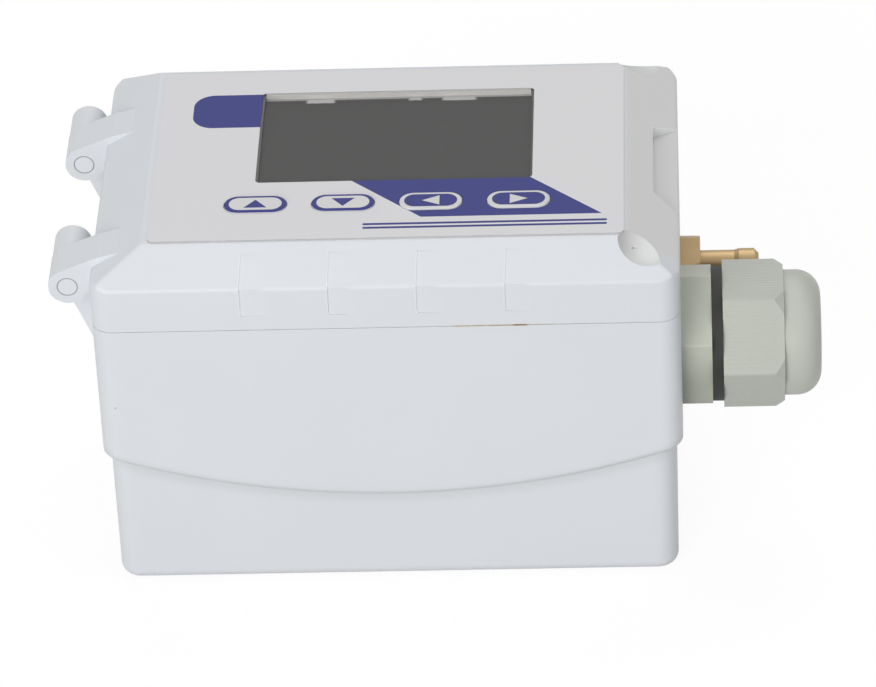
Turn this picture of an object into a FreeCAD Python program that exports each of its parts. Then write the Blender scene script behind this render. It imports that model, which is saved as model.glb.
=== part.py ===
import FreeCAD, Part
import math
import os
import re
import Sketcher

doc = FreeCAD.newDocument("PressureSensor")
Vec = FreeCAD.Vector

# Driving dimensions, in millimetres
values = [
    ("case_width", 98.9, "case along X"),
    ("case_depth", 66.4, "case along Y"),
    ("case_corner", 3.6, "radius of the upright corners"),
    ("base_height", 53.0, "floor to the rim of the base"),
    ("base_wall", 3.7, "wall at the rim of the base"),
    ("base_floor", 2.5, "thickness of the floor"),
    ("cavity_corner", 2.4, "inside corner radius of the base"),
    ("band_step", 1.2, "inset of the lower body under the band"),
    ("smile_low", 18.3, "lowest point of the band on the front wall"),
    ("smile_radius", 142.0, "arc of the band on the front wall"),
    ("lip_round", 1.0, "rounding under the band"),
    ("foot_round", 2.0, "rounding of the bottom edge"),
    ("seam_gap", 0.15, "gap between rim and lid"),
    ("lid_side", 8.1, "upright wall of the lid"),
    ("lid_rise", 5.25, "height of the sloped part of the lid"),
    ("lid_wall", 3.0, "thickness of the upright wall of the lid"),
    ("lid_plate", 2.4, "thickness of the flat top"),
    ("lid_drop", 2.8, "upright thickness of the slopes"),
    ("lid_edge", 1.1, "rounding of the lid edges"),
    ("bevel_side", 8.75, "slope width, left and right"),
    ("bevel_front", 6.2, "slope width, front and back"),
    ("gasket_inset", 1.1, "outer wall to the gasket groove"),
    ("gasket_width", 1.5, "width of the groove"),
    ("gasket_depth", 1.5, "depth of the groove"),
    ("gasket_play", 0.04, "side gap of the gasket"),
    ("hinge_out", 4.15, "hinge axis outside the left wall"),
    ("hinge_rise", 4.5, "hinge axis above the rim"),
    ("hinge_pitch", 37.5, "distance between the two hinges"),
    ("hinge_length", 14.0, "arm and knuckle together"),
    ("arm_width", 7.5, "arm of the lid along Y"),
    ("arm_radius", 3.25, "round end of the arm"),
    ("arm_reach", 4.85, "arm over the slope of the lid"),
    ("arm_rise", 5.7, "top of the arm over the axis, at the wall of the lid"),
    ("arm_gap", 0.15, "gap between arm and knuckle"),
    ("knuckle_width", 6.3, "knuckle of the base along Y"),
    ("knuckle_radius", 3.15, "round end of the knuckle"),
    ("gusset_drop", 21.0, "foot of the knuckle under the axis"),
    ("pin_radius", 1.6, "hinge pin"),
    ("pin_play", 0.2, "running clearance of the pin"),
    ("pin_press", 0.01, "clearance of the pin in the knuckle"),
    ("label_length", 79.8, "face label along X"),
    ("label_width", 52.3, "face label along Y"),
    ("label_thick", 0.35, "thickness of the face label"),
    ("label_y", -0.4, "middle of the face label"),
    ("face_shift", 0.4, "label, keys and window right of the middle"),
    ("window_x", 0.9, "centre of the window from the middle of the label"),
    ("window_y", 4.8, "centre of the window"),
    ("window_length", 47.0, "window along X"),
    ("window_width", 28.2, "window along Y"),
    ("window_ledge", 0.35, "ledge that carries the window film"),
    ("window_lip", 0.75, "lid thickness over the display"),
    ("key_length", 10.6, "key along X"),
    ("key_width", 4.9, "key along Y"),
    ("key_pitch", 14.8, "distance between keys"),
    ("key_room", 0.85, "display frame to the switches"),
    ("key_proud", 0.3, "key above the label"),
    ("key_thick", 1.1, "thickness of a key"),
    ("key_edge", 0.22, "rounding of the key top"),
    ("key_play", 0.12, "gap round a key"),
    ("key_well", 1.25, "depth of the key well in the lid"),
    ("plunger_radius", 1.5, "plunger under a key"),
    ("plunger_play", 0.15, "gap round the plunger"),
    ("dish_x", 42.5, "middle of a corner dish"),
    ("dish_y", 27.8, "middle of a corner dish"),
    ("dish_ball", 6.55, "ball that hollows a dish"),
    ("pit_radius", 0.4, "pit in the middle of a dish"),
    ("notch_inner", 20.0, "finger notch at its inner edge"),
    ("notch_flare", 3.2, "each end of the notch runs out by this"),
    ("notch_run", 4.25, "notch across the slope"),
    ("notch_sink", 0.1, "notch floor under the edge of the slope"),
    ("notch_deep", 1.9, "notch floor under the slope at its inner edge"),
    ("grip_first", 24.54, "left edge of the first grip mark"),
    ("grip_width", 4.6, "width of a grip mark"),
    ("grip_depth", 0.3, "depth of a grip mark"),
    ("grip_lift", 2.75, "lower end of the grip marks above the lid edge"),
    ("grip_drop", 1.3, "upper end of the grip marks under the flat top"),
    ("tongue_width", 6.0, "snap tongue along Y"),
    ("tongue_thick", 1.2, "snap tongue along X"),
    ("tongue_gap", 0.7, "tongue to the base wall"),
    ("tongue_reach", 5.4, "tongue under the rim"),
    ("bead_size", 0.9, "reach of the snap bead"),
    ("bead_drop", 4.8, "lower side of the bead under the rim"),
    ("bead_tall", 1.2, "height of the bead"),
    ("wall_hole_x", 40.0, "wall fixing holes"),
    ("wall_hole_y", 24.5, "wall fixing holes"),
    ("wall_hole_radius", 2.2, "wall fixing holes"),
    ("boss_radius", 4.4, "bosses round the wall fixing holes"),
    ("boss_tall", 2.0, "bosses round the wall fixing holes"),
    ("board_gap", 1.95, "left edge of the main board to the wall"),
    ("board_room", 17.75, "right edge of the main board to the wall"),
    ("board_half", 19.0, "half the main board along Y"),
    ("board_level", 10.0, "underside of the main board"),
    ("board_thick", 1.6, "both circuit boards"),
    ("post_inset", 6.0, "board posts from the ends of the board"),
    ("post_y", 15.5, "posts of the main board"),
    ("show_gap_left", 1.85, "display board to the wall, hinge side"),
    ("show_gap_right", 7.75, "display board to the wall, gland side"),
    ("post_radius", 3.0, "board posts"),
    ("screw_radius", 1.3, "board screws"),
    ("screw_head", 2.5, "heads of the board screws"),
    ("screw_tall", 1.8, "height of the heads"),
    ("screw_bite", 5.0, "screw length under the board"),
    ("screw_play", 0.03, "gap round a screw"),
    ("slot_wide", 0.7, "screwdriver slots"),
    ("slot_deep", 0.8, "screwdriver slots"),
    ("show_half_y", 25.0, "half the display board along Y"),
    ("show_drop", 8.6, "underside of the display board under the lid top"),
    ("stand_inset", 4.15, "display board posts from the right end"),
    ("stand_y", 21.4, "posts of the display board"),
    ("glass_length", 51.6, "display glass along X"),
    ("glass_width", 32.4, "display glass along Y"),
    ("glass_thick", 1.9, "display glass"),
    ("glass_play", 0.1, "gap round the display glass"),
    ("frame_grow", 0.9, "backlight beyond the glass"),
    ("switch_side", 6.0, "switch housing"),
    ("switch_tall", 3.1, "switch housing"),
    ("stem_radius", 1.7, "switch stem"),
    ("stem_play", 0.1, "gap round the stem"),
    ("stem_tall", 2.1, "length of the stem"),
    ("stem_room", 0.5, "free travel under the stem"),
    ("header_wide", 14.0, "ribbon headers along Y"),
    ("header_long", 6.0, "ribbon headers along X"),
    ("header_tall", 5.6, "ribbon headers"),
    ("plug_wide", 11.0, "slot of a ribbon header"),
    ("plug_tall", 2.6, "slot of a ribbon header"),
    ("plug_deep", 2.0, "slot of a ribbon header"),
    ("ribbon_wide", 10.0, "ribbon along Y"),
    ("ribbon_thick", 0.8, "ribbon"),
    ("ribbon_leg", 7.0, "straight ends of the ribbon"),
    ("ribbon_level", 2.8, "ribbon above its board"),
    ("terminal_long", 20.4, "terminal block along Y"),
    ("terminal_wide", 9.0, "terminal block along X"),
    ("terminal_tall", 11.0, "terminal block"),
    ("terminal_pitch", 5.08, "distance between terminals"),
    ("terminal_line", 2.3, "terminal block in front of the middle"),
    ("terminal_entry", 1.7, "wire entry radius"),
    ("terminal_screw", 1.6, "terminal screw radius"),
    ("terminal_well", 4.0, "depth of the screw wells"),
    ("terminal_inset", 1.5, "terminal block from the end of the board"),
    ("chip_side", 10.0, "controller chip"),
    ("chip_tall", 1.5, "controller chip"),
    ("chip_x", -21.0, "middle of the chip"),
    ("chip_y", -9.0, "middle of the chip"),
    ("leg_wide", 0.4, "legs of the chip"),
    ("leg_pitch", 0.8, "legs of the chip"),
    ("leg_reach", 1.1, "legs of the chip"),
    ("leg_thick", 0.25, "legs of the chip"),
    ("dot_radius", 0.6, "first leg mark of the chip"),
    ("can_radius", 4.0, "capacitor"),
    ("can_tall", 10.0, "capacitor"),
    ("can_x", -10.0, "middle of the capacitor"),
    ("can_y", 12.0, "middle of the capacitor"),
    ("vent_wide", 0.4, "vent groove of the capacitor"),
    ("vent_deep", 0.3, "vent groove of the capacitor"),
    ("crimp_deep", 0.3, "crimp groove of the capacitor"),
    ("crimp_tall", 0.8, "crimp groove of the capacitor"),
    ("crimp_lift", 1.4, "crimp groove above the board"),
    ("gland_room", 0.9, "gland locknut to the front wall"),
    ("gland_drop", 14.45, "gland axis under the rim"),
    ("gland_flats", 22.0, "gland across flats"),
    ("gland_round", 12.6, "rounded corners of the gland"),
    ("gland_hex", 5.2, "hexagon of the gland body"),
    ("gland_band", 1.9, "rubber ring of the gland"),
    ("gland_band_radius", 11.5, "rubber ring of the gland"),
    ("cap_hex", 10.35, "hexagon of the cap nut"),
    ("dome_long", 6.3, "dome of the cap nut"),
    ("dome_radius", 10.7, "dome of the cap nut"),
    ("dome_round", 4.2, "rounded end of the dome"),
    ("mouth_radius", 6.4, "cable mouth of the cap nut"),
    ("thread_radius", 10.1, "gland thread through the wall"),
    ("thread_play", 0.15, "gap round the thread"),
    ("neck_radius", 9.7, "gland body under the cap nut"),
    ("neck_play", 0.1, "gap between neck and cap nut"),
    ("gland_bore", 7.5, "bore of the gland body"),
    ("seal_play", 0.05, "gap round the cable seal"),
    ("cable_radius", 5.0, "cable hole of the seal"),
    ("seal_long", 8.0, "cable seal along X"),
    ("nut_thick", 5.0, "gland locknut"),
    ("tail_long", 8.0, "gland thread inside the case"),
    ("port_pitch", 21.0, "hose barb behind the gland"),
    ("barb_drop", 14.1, "barb axis under the rim"),
    ("barb_flats", 9.2, "barb across flats"),
    ("barb_hex", 3.5, "hexagon of the barb"),
    ("barb_long", 13.6, "barb out of the wall"),
    ("barb_shaft", 2.2, "barb shaft radius"),
    ("barb_land", 2.45, "barb land radius"),
    ("land_start", 10.2, "start of the land from the wall"),
    ("land_long", 2.7, "length of the land"),
    ("barb_bore", 1.2, "bore of the barb"),
    ("barb_thread", 4.0, "barb thread radius"),
    ("barb_nut_flats", 12.0, "barb nut across flats"),
    ("barb_nut_thick", 3.6, "barb nut"),
    ("washer_thick", 0.8, "barb washer"),
    ("hose_bore", 2.0, "inside radius of the hose"),
    ("hose_radius", 3.2, "outside radius of the hose"),
    ("hose_bend", 12.0, "bend radius of the hose"),
    ("nipple_radius", 1.95, "nipples under the hose"),
    ("hose_bite", 6.0, "hose over each nipple"),
    ("sensor_room", 2.5, "sensor module to the terminal block"),
    ("sensor_side", 14.0, "sensor module"),
    ("sensor_tall", 7.5, "sensor module"),
]
names = set()
sizes = doc.addObject("Spreadsheet::Sheet", "Sizes")
for row, (alias, number, note) in enumerate(values, start=1):
    sizes.set("A%d" % row, note)
    sizes.set("B%d" % row, str(number))
    sizes.setAlias("B%d" % row, alias)
    names.add(alias)
doc.recompute()


# Helpers: every size text below is made of the names in the sheet
def sheet_text(text):
    return re.sub(r"[a-z_]+", lambda m: "Sizes." + m.group(0) if m.group(0) in names else m.group(0), text)


def bind(item, **texts):
    for prop, text in texts.items():
        item.setExpression(prop.replace("__", "."), sheet_text(text))


def place(item, x, y, z):
    bind(item, Placement__Base__x=x, Placement__Base__y=y, Placement__Base__z=z)


def box(name, x, y, z):
    item = doc.addObject("Part::Box", name)
    bind(item, Length="(%s) - (%s)" % (x[1], x[0]))
    bind(item, Width="(%s) - (%s)" % (y[1], y[0]))
    bind(item, Height="(%s) - (%s)" % (z[1], z[0]))
    place(item, x[0], y[0], z[0])
    return item


turns = {
    "X": FreeCAD.Rotation(Vec(0, 1, 0), 90),
    "Y": FreeCAD.Rotation(Vec(1, 0, 0), -90),
    "Z": FreeCAD.Rotation(),
}


def lay(item, axis, start, across):
    item.Placement = FreeCAD.Placement(Vec(0, 0, 0), turns[axis])
    spots = {
        "X": (start, across[0], across[1]),
        "Y": (across[0], start, across[1]),
        "Z": (across[0], across[1], start),
    }
    place(item, *spots[axis])
    return item


def rod(name, axis, radius, span, across):
    item = doc.addObject("Part::Cylinder", name)
    bind(item, Radius=radius, Height="(%s) - (%s)" % (span[1], span[0]))
    return lay(item, axis, span[0], across)


def cone(name, axis, radii, span, across):
    item = doc.addObject("Part::Cone", name)
    bind(item, Radius1=radii[0], Radius2=radii[1], Height="(%s) - (%s)" % (span[1], span[0]))
    return lay(item, axis, span[0], across)


def hexagon(name, flats, span, across, turn=0):
    item = doc.addObject("Part::Prism", name)
    item.Polygon = 6
    bind(item, Circumradius="(%s) / sqrt(3)" % flats, Height="(%s) - (%s)" % (span[1], span[0]))
    lay(item, "X", span[0], across)
    item.Placement.Rotation = FreeCAD.Rotation(Vec(1, 0, 0), turn).multiply(turns["X"])
    return item


def fuse(name, items):
    item = doc.addObject("Part::MultiFuse", name)
    item.Shapes = items
    item.Refine = True
    return item


def common(name, items):
    item = doc.addObject("Part::MultiCommon", name)
    item.Shapes = items
    item.Refine = True
    return item


def cut(name, base, tools):
    item = doc.addObject("Part::Cut", name)
    item.Base = base
    item.Tool = tools[0] if len(tools) == 1 else fuse(name + "_tools", tools)
    item.Refine = True
    return item


def group(name, items):
    item = doc.addObject("Part::Compound", name)
    item.Links = items
    return item


def plane_of(body, role):
    for feature in body.Origin.OriginFeatures:
        if feature.Role == role:
            return feature
    return None


def new_sketch(body, name, role):
    sketch = body.newObject("Sketcher::SketchObject", name)
    sketch.AttachmentSupport = [(plane_of(body, role), "")]
    sketch.MapMode = "FlatFace"
    return sketch


def outline(sketch, corners):
    first = sketch.GeometryCount
    count = len(corners)
    for i in range(count):
        here = Vec(i, i * i, 0)
        there = Vec((i + 1) % count, ((i + 1) % count) ** 2, 0)
        sketch.addGeometry(Part.LineSegment(here, there))
    for i in range(count):
        joined = first + (i + 1) % count
        sketch.addConstraint(Sketcher.Constraint("Coincident", first + i, 2, joined, 1))
    for i, (across, up) in enumerate(corners):
        for kind, text in (("DistanceX", across), ("DistanceY", up)):
            number = sketch.addConstraint(Sketcher.Constraint(kind, -1, 1, first + i, 1, 1.0))
            sketch.setExpression("Constraints[%d]" % number, sheet_text(text))


def profile(name, role, corners, length):
    body = doc.addObject("PartDesign::Body", name)
    sketch = new_sketch(body, name + "_sketch", role)
    outline(sketch, corners)
    pad = body.newObject("PartDesign::Pad", name + "_pad")
    pad.Profile = sketch
    pad.Midplane = True
    bind(pad, Length=length)
    return body


def block(name, length, width, corner, bottom, height, top_edge=None):
    body = doc.addObject("PartDesign::Body", name)
    half_x = "(%s) / 2" % length
    half_y = "(%s) / 2" % width
    sketch = new_sketch(body, name + "_sketch", "XY_Plane")
    outline(sketch, [
        ("-" + half_x, "-" + half_y),
        (half_x, "-" + half_y),
        (half_x, half_y),
        ("-" + half_x, half_y),
    ])
    pad = body.newObject("PartDesign::Pad", name + "_pad")
    pad.Profile = sketch
    bind(pad, Length=height)
    doc.recompute()
    tip = pad
    if corner:
        tip = soften(body, name + "_corners", pad, upright, corner)
    if top_edge:
        tip = soften(body, name + "_top", tip, lambda edge: level(edge, edge_top(tip)), top_edge)
    bind(body, Placement__Base__z=bottom)
    return body


def disc(name, radius, height, edge):
    body = doc.addObject("PartDesign::Body", name)
    sketch = new_sketch(body, name + "_sketch", "XY_Plane")
    sketch.addGeometry(Part.Circle(Vec(0, 0, 0), Vec(0, 0, 1), 5))
    sketch.addConstraint(Sketcher.Constraint("Coincident", 0, 3, -1, 1))
    number = sketch.addConstraint(Sketcher.Constraint("Radius", 0, 5))
    sketch.setExpression("Constraints[%d]" % number, sheet_text(radius))
    pad = body.newObject("PartDesign::Pad", name + "_pad")
    pad.Profile = sketch
    bind(pad, Length=height)
    doc.recompute()
    soften(body, name + "_edge", pad, lambda line: level(line, edge_top(pad)), edge)
    return body


def upright(edge):
    ends = edge.BoundBox
    return ends.ZLength > 0.01 and ends.XLength < 1e-6 and ends.YLength < 1e-6


def level(edge, height):
    ends = edge.BoundBox
    return ends.ZLength < 1e-6 and abs(ends.ZMax - height) < 1e-6


def edge_top(feature):
    return feature.Shape.BoundBox.ZMax


def soften(body, name, feature, wanted, radius):
    found = ["Edge%d" % (i + 1) for i, edge in enumerate(feature.Shape.Edges) if wanted(edge)]
    fillet = body.newObject("PartDesign::Fillet", name)
    fillet.Base = (feature, found)
    bind(fillet, Radius=radius)
    doc.recompute()
    return fillet


def pocket(body, name, role, outlines):
    sketch = new_sketch(body, name + "_sketch", role)
    for corners in outlines:
        outline(sketch, corners)
    removed = body.newObject("PartDesign::Pocket", name)
    removed.Profile = sketch
    removed.Type = 1
    removed.Midplane = True
    doc.recompute()
    return removed


# Shared places
half_width = "(case_width / 2)"
half_depth = "(case_depth / 2)"
lid_low = "(base_height + seam_gap)"
lid_brow = "(base_height + seam_gap + lid_side)"
lid_top = "(base_height + seam_gap + lid_side + lid_rise)"
label_top = "(%s + label_thick)" % lid_top
plate_low = "(%s - lid_plate)" % lid_top
side_slope = "(lid_rise / bevel_side)"
front_slope = "(lid_rise / bevel_front)"
cavity_x = "(%s - base_wall)" % half_width
cavity_y = "(%s - base_wall)" % half_depth
hinge_x = "(0 - %s - hinge_out)" % half_width
hinge_z = "(base_height + hinge_rise)"
board_left = "(%s - board_gap)" % cavity_x
board_right = "(%s - board_room)" % cavity_x
board_top = "(board_level + board_thick)"
show_low = "(%s - show_drop)" % lid_top
show_top = "(%s + board_thick)" % show_low
show_left = "(%s - show_gap_left)" % cavity_x
show_right = "(%s - show_gap_right)" % cavity_x
stand_x = "(%s - stand_inset)" % show_right
window_mid = "(face_shift + window_x)"
key_line = "(glass_width / 2 + frame_grow + key_room + switch_side / 2 - window_y)"
grip_low = "(%s + grip_lift)" % lid_low
grip_high = "(%s - grip_drop)" % lid_top
tongue_low = "(base_height - tongue_reach)"
bead_low = "(base_height - bead_drop)"
key_names = ["up", "down", "left", "right"]
key_spots = ["(face_shift + key_pitch * %s)" % step for step in ("-1.5", "-0.5", "0.5", "1.5")]
hinge_sides = {"front": "(0 - hinge_pitch / 2)", "rear": "(hinge_pitch / 2)"}
wall_face = half_width
gland_y = "(gland_round + gland_room - %s)" % cavity_y
barb_y = "(%s + port_pitch)" % gland_y
barb_level = "(base_height - barb_drop)"
gland_axis = (gland_y, "(base_height - gland_drop)")
barb_axis = (barb_y, barb_level)


# Base housing: lower body, band with the curved lower edge, cavity and rim
def base_lower():
    body = block(
        "lower_body", "case_width - 2 * band_step", "case_depth - 2 * band_step",
        "case_corner", "0", "base_height - gasket_depth - 1")
    tip = body.Tip
    soften(body, "lower_foot", tip, lambda edge: abs(edge.BoundBox.ZMax) < 1e-6, "foot_round")
    return body


def base_band():
    body = block("band", "case_width", "case_depth", "case_corner", "0", "base_height")
    reach = "(case_width * 0.75)"
    low, wide, deep = float(sizes.smile_low), float(sizes.case_width) * 0.75, float(sizes.base_floor) * 2
    arc_radius = math.hypot(float(sizes.smile_radius), float(sizes.case_depth) / 2)
    height = low + float(sizes.smile_radius)
    swing = math.asin(wide / arc_radius)
    lowest = height - arc_radius
    brink = height - arc_radius * math.cos(swing)
    sketch = new_sketch(body, "band_arc", "XZ_Plane")
    circle = Part.Circle(Vec(0, height, 0), Vec(0, 0, 1), arc_radius)
    sketch.addGeometry(Part.ArcOfCircle(circle, -math.pi / 2, swing - math.pi / 2))
    sketch.addGeometry(Part.LineSegment(Vec(wide, brink, 0), Vec(wide, -deep, 0)))
    sketch.addGeometry(Part.LineSegment(Vec(wide, -deep, 0), Vec(0, -deep, 0)))
    sketch.addGeometry(Part.LineSegment(Vec(0, -deep, 0), Vec(0, lowest, 0)))
    for pair in ((0, 2, 1, 1), (1, 2, 2, 1), (2, 2, 3, 1), (3, 2, 0, 1)):
        sketch.addConstraint(Sketcher.Constraint("Coincident", *pair))
    sketch.addConstraint(Sketcher.Constraint("Vertical", 1))
    sketch.addConstraint(Sketcher.Constraint("Horizontal", 2))
    sketch.addConstraint(Sketcher.Constraint("PointOnObject", 0, 3, -2))
    sketch.addConstraint(Sketcher.Constraint("PointOnObject", 0, 1, -2))
    sketch.addConstraint(Sketcher.Constraint("PointOnObject", 2, 2, -2))
    bound = [
        (Sketcher.Constraint("Radius", 0, arc_radius), "sqrt(smile_radius^2 + (case_depth / 2)^2)"),
        (Sketcher.Constraint("DistanceY", -1, 1, 0, 3, height), "smile_low + smile_radius"),
        (Sketcher.Constraint("DistanceX", -1, 1, 1, 1, wide), reach),
        (Sketcher.Constraint("DistanceY", 2, 2, -1, 1, deep), "base_floor * 2"),
    ]
    for constraint, text in bound:
        number = sketch.addConstraint(constraint)
        sketch.setExpression("Constraints[%d]" % number, sheet_text(text))
    groove = body.newObject("PartDesign::Groove", "band_groove")
    groove.Profile = sketch
    groove.ReferenceAxis = (sketch, ["V_Axis"])
    groove.Angle = 360
    doc.recompute()
    soften(body, "band_lip", groove, on_lip, "lip_round")
    return body


def on_lip(edge):
    ends = edge.BoundBox
    high, low = sizes.base_height * 0.75, sizes.smile_low * 0.5
    return ends.ZMax < high and ends.ZMin > low and not upright(edge)


def ring_block(name, inset, width, bottom, height):
    outer = block(
        name + "_outer", "case_width - 2 * (%s)" % inset, "case_depth - 2 * (%s)" % inset,
        "case_corner - (%s) * 0.6" % inset, bottom, height)
    inner_inset = "(%s + %s)" % (inset, width)
    inner = block(
        name + "_inner", "case_width - 2 * %s" % inner_inset, "case_depth - 2 * %s" % inner_inset,
        "case_corner - %s * 0.6" % inner_inset, bottom, height)
    return cut(name, outer, [inner])


def knuckle(side):
    middle = hinge_sides[side]
    plate = profile("knuckle_plate_" + side, "XZ_Plane", [
        ("0 - knuckle_radius * 0.932", "0 - knuckle_radius * 0.364"),
        ("hinge_out + band_step / 2", "0 - gusset_drop"),
        ("hinge_out + band_step / 2", "0 - hinge_rise - 2.6"),
        ("knuckle_radius", "0 - hinge_rise - 0.4"),
        ("knuckle_radius", "0"),
        ("0", "0"),
    ], "knuckle_width")
    place(plate, hinge_x, "%s + (hinge_length - knuckle_width) / 2" % middle, hinge_z)
    start = "(%s + hinge_length / 2 - knuckle_width)" % middle
    eye = rod("knuckle_eye_" + side, "Y", "knuckle_radius", (start, start + " + knuckle_width"),
              (hinge_x, hinge_z))
    return [plate, eye]


def base_posts():
    found = []
    for name, x in (("left", "(post_inset - %s)" % board_left), ("right", "(%s - post_inset)" % board_right)):
        for sign, y in (("front", "(0 - post_y)"), ("rear", "post_y")):
            found.append((name + "_" + sign, x, y))
    return found


outer_base = fuse("base_outer", [base_lower(), base_band()])
cavity = block("cavity", "2 * " + cavity_x, "2 * " + cavity_y, "cavity_corner", "base_floor", "base_height")
groove_ring = ring_block("gasket_groove", "gasket_inset", "gasket_width",
                         "base_height - gasket_depth", "gasket_depth + 1")
shell = cut("base_shell", outer_base, [cavity, groove_ring])
base_adds = [shell]
for side in hinge_sides:
    base_adds += knuckle(side)
for post, x, y in base_posts():
    base_adds.append(rod("base_post_" + post, "Z", "post_radius", ("base_floor / 2", "board_level"), (x, y)))
wall_spots = [(x, y) for x in ("(0 - wall_hole_x)", "wall_hole_x") for y in ("(0 - wall_hole_y)", "wall_hole_y")]
for x, y in wall_spots:
    base_adds.append(rod("wall_boss", "Z", "boss_radius", ("base_floor / 2", "base_floor + boss_tall"), (x, y)))
base_solid = fuse("base_solid", base_adds)
base_cuts = [
    rod("gland_hole", "X", "thread_radius + thread_play",
        (cavity_x + " - 1", wall_face + " + 1"), gland_axis),
    rod("barb_hole", "X", "barb_thread + thread_play",
        (cavity_x + " - 1", wall_face + " + 1"), barb_axis),
    box("bead_pocket", (cavity_x + " - 0.5", cavity_x + " + bead_size - tongue_gap + 0.3"),
        ("0 - tongue_width / 2 - 0.4", "tongue_width / 2 + 0.4"),
        (bead_low + " - 0.3", bead_low + " + bead_tall + 0.3")),
]
for side, middle in hinge_sides.items():
    base_cuts.append(rod("pin_hole_" + side, "Y", "pin_radius + pin_press",
                         (middle + " - hinge_length", middle + " + hinge_length"), (hinge_x, hinge_z)))
for post, x, y in base_posts():
    base_cuts.append(rod("post_hole_" + post, "Z", "screw_radius + screw_play",
                         ("board_level - screw_bite - 0.4", "board_level + 1"), (x, y)))
for x, y in wall_spots:
    base_cuts.append(rod("wall_hole", "Z", "wall_hole_radius", ("-1", "base_floor + boss_tall + 1"), (x, y)))
base_housing = cut("base_housing", base_solid, base_cuts)

lid_gasket = ring_block("lid_gasket", "gasket_inset + gasket_play", "gasket_width - 2 * gasket_play",
                        "base_height - gasket_depth", "gasket_depth + seam_gap")

pins = []
for side, middle in hinge_sides.items():
    pins.append(rod("hinge_pin_" + side, "Y", "pin_radius",
                    (middle + " - hinge_length / 2", middle + " + hinge_length / 2"), (hinge_x, hinge_z)))
hinge_pins = group("hinge_pins", pins)


# Lid cover: sloped shell, hinge arms, window, key wells, dishes, notch, grip marks, snap tongue
def sloped(name, inset, bottom, brow, top, bevel_x, bevel_y, corner, edge):
    body = block(name, "case_width - 2 * (%s)" % inset, "case_depth - 2 * (%s)" % inset, corner, "0",
                 "(%s) - (%s)" % (top, bottom))
    rise = "(%s) - (%s)" % (brow, bottom)
    peak = "(%s) - (%s)" % (top, bottom)
    for role, half, run in (("XZ_Plane", half_width, bevel_x), ("YZ_Plane", half_depth, bevel_y)):
        wall = "(%s - (%s))" % (half, inset)
        shoulder = "(%s - (%s))" % (wall, run)
        outlines = []
        for sign in ("", "0 - "):
            outlines.append([
                (sign + wall, rise),
                (sign + shoulder, peak),
                (sign + shoulder, peak + " + 2"),
                (sign + "(%s + 3)" % wall, peak + " + 2"),
                (sign + "(%s + 3)" % wall, rise),
            ])
        pocket(body, name + "_" + role, role, outlines)
    if edge:
        tip = body.Tip
        brow_level = tip.Shape.BoundBox.ZMax - sizes.lid_rise * 1.15
        soften(body, name + "_edges", tip, lambda e: e.BoundBox.ZMin > brow_level and not upright(e), edge)
    bind(body, Placement__Base__z=bottom)
    return body


def arm(side):
    middle = hinge_sides[side]
    centre = "(%s - (hinge_length - arm_width) / 2)" % middle
    slope_top = "(seam_gap + lid_side - hinge_rise + lid_rise / bevel_side * arm_reach)"
    plate = profile("arm_plate_" + side, "XZ_Plane", [
        ("0 - arm_radius * 0.3746", "arm_radius * 0.9272"),
        ("hinge_out + arm_reach * 0.22", "arm_rise"),
        ("hinge_out + arm_reach", slope_top),
        ("hinge_out + arm_reach", slope_top + " - lid_drop / 2"),
        ("hinge_out + lid_wall / 2", "hinge_out - arm_radius * 1.4142 + 0.5"),
        ("hinge_out", "hinge_out - arm_radius * 1.4142"),
        ("arm_radius * 0.7071", "0 - arm_radius * 0.7071"),
    ], "arm_width")
    place(plate, hinge_x, centre, hinge_z)
    eye = rod("arm_eye_" + side, "Y", "arm_radius",
              (centre + " - arm_width / 2", centre + " + arm_width / 2"), (hinge_x, hinge_z))
    return [plate, eye]


lid_outer = sloped("lid_outer", "0", lid_low, lid_brow, lid_top, "bevel_side", "bevel_front",
                   "case_corner", "lid_edge")
lid_void = sloped("lid_void", "lid_wall", lid_low, lid_brow + " - lid_drop + lid_wall * %s" % side_slope,
                  plate_low, "(lid_rise - lid_plate + lid_drop) / %s - lid_wall" % side_slope,
                  "(lid_rise - lid_plate + lid_drop - lid_wall * %s) / %s" % (side_slope, front_slope),
                  "case_corner / 2", None)
lid_shell = cut("lid_shell", lid_outer, [lid_void])
tongue_x = "(%s - tongue_gap)" % cavity_x
lid_adds = [lid_shell]
for side in hinge_sides:
    lid_adds += arm(side)
for sign_x in ("(0 - %s)" % stand_x, stand_x):
    for sign_y in ("(0 - stand_y)", "stand_y"):
        lid_adds.append(rod("stand", "Z", "post_radius", (show_top, plate_low + " + 0.5"), (sign_x, sign_y)))
notch_half = "(notch_inner / 2 + notch_flare)"
lid_adds.append(box("notch_back", (tongue_x + " - tongue_thick - 0.8", half_width + " - lid_wall + 0.5"),
                    ("0 - " + notch_half, notch_half), (lid_brow + " - 3.2", lid_brow + " + 0.6")))
lid_adds.append(box("snap_tongue", (tongue_x + " - tongue_thick", tongue_x),
                    ("0 - tongue_width / 2", "tongue_width / 2"), (tongue_low, lid_brow)))
lid_adds.append(box("snap_bead", (tongue_x + " - tongue_thick / 2", tongue_x + " + bead_size"),
                    ("0 - tongue_width / 2", "tongue_width / 2"), (bead_low, bead_low + " + bead_tall")))
lid_solid = fuse("lid_solid", lid_adds)
lid_cuts = []
window_hole = block("window_hole", "window_length - 2 * window_ledge", "window_width - 2 * window_ledge",
                    "0.6", plate_low + " - 1", "lid_plate + 2")
bind(window_hole, Placement__Base__x=window_mid, Placement__Base__y="window_y")
glass_well = box("glass_well",
                 (window_mid + " - glass_length / 2 - glass_play", window_mid + " + glass_length / 2 + glass_play"),
                 ("window_y - glass_width / 2 - glass_play", "window_y + glass_width / 2 + glass_play"),
                 (plate_low + " - 1", lid_top + " - window_lip"))
lid_cuts += [window_hole, glass_well]
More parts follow.
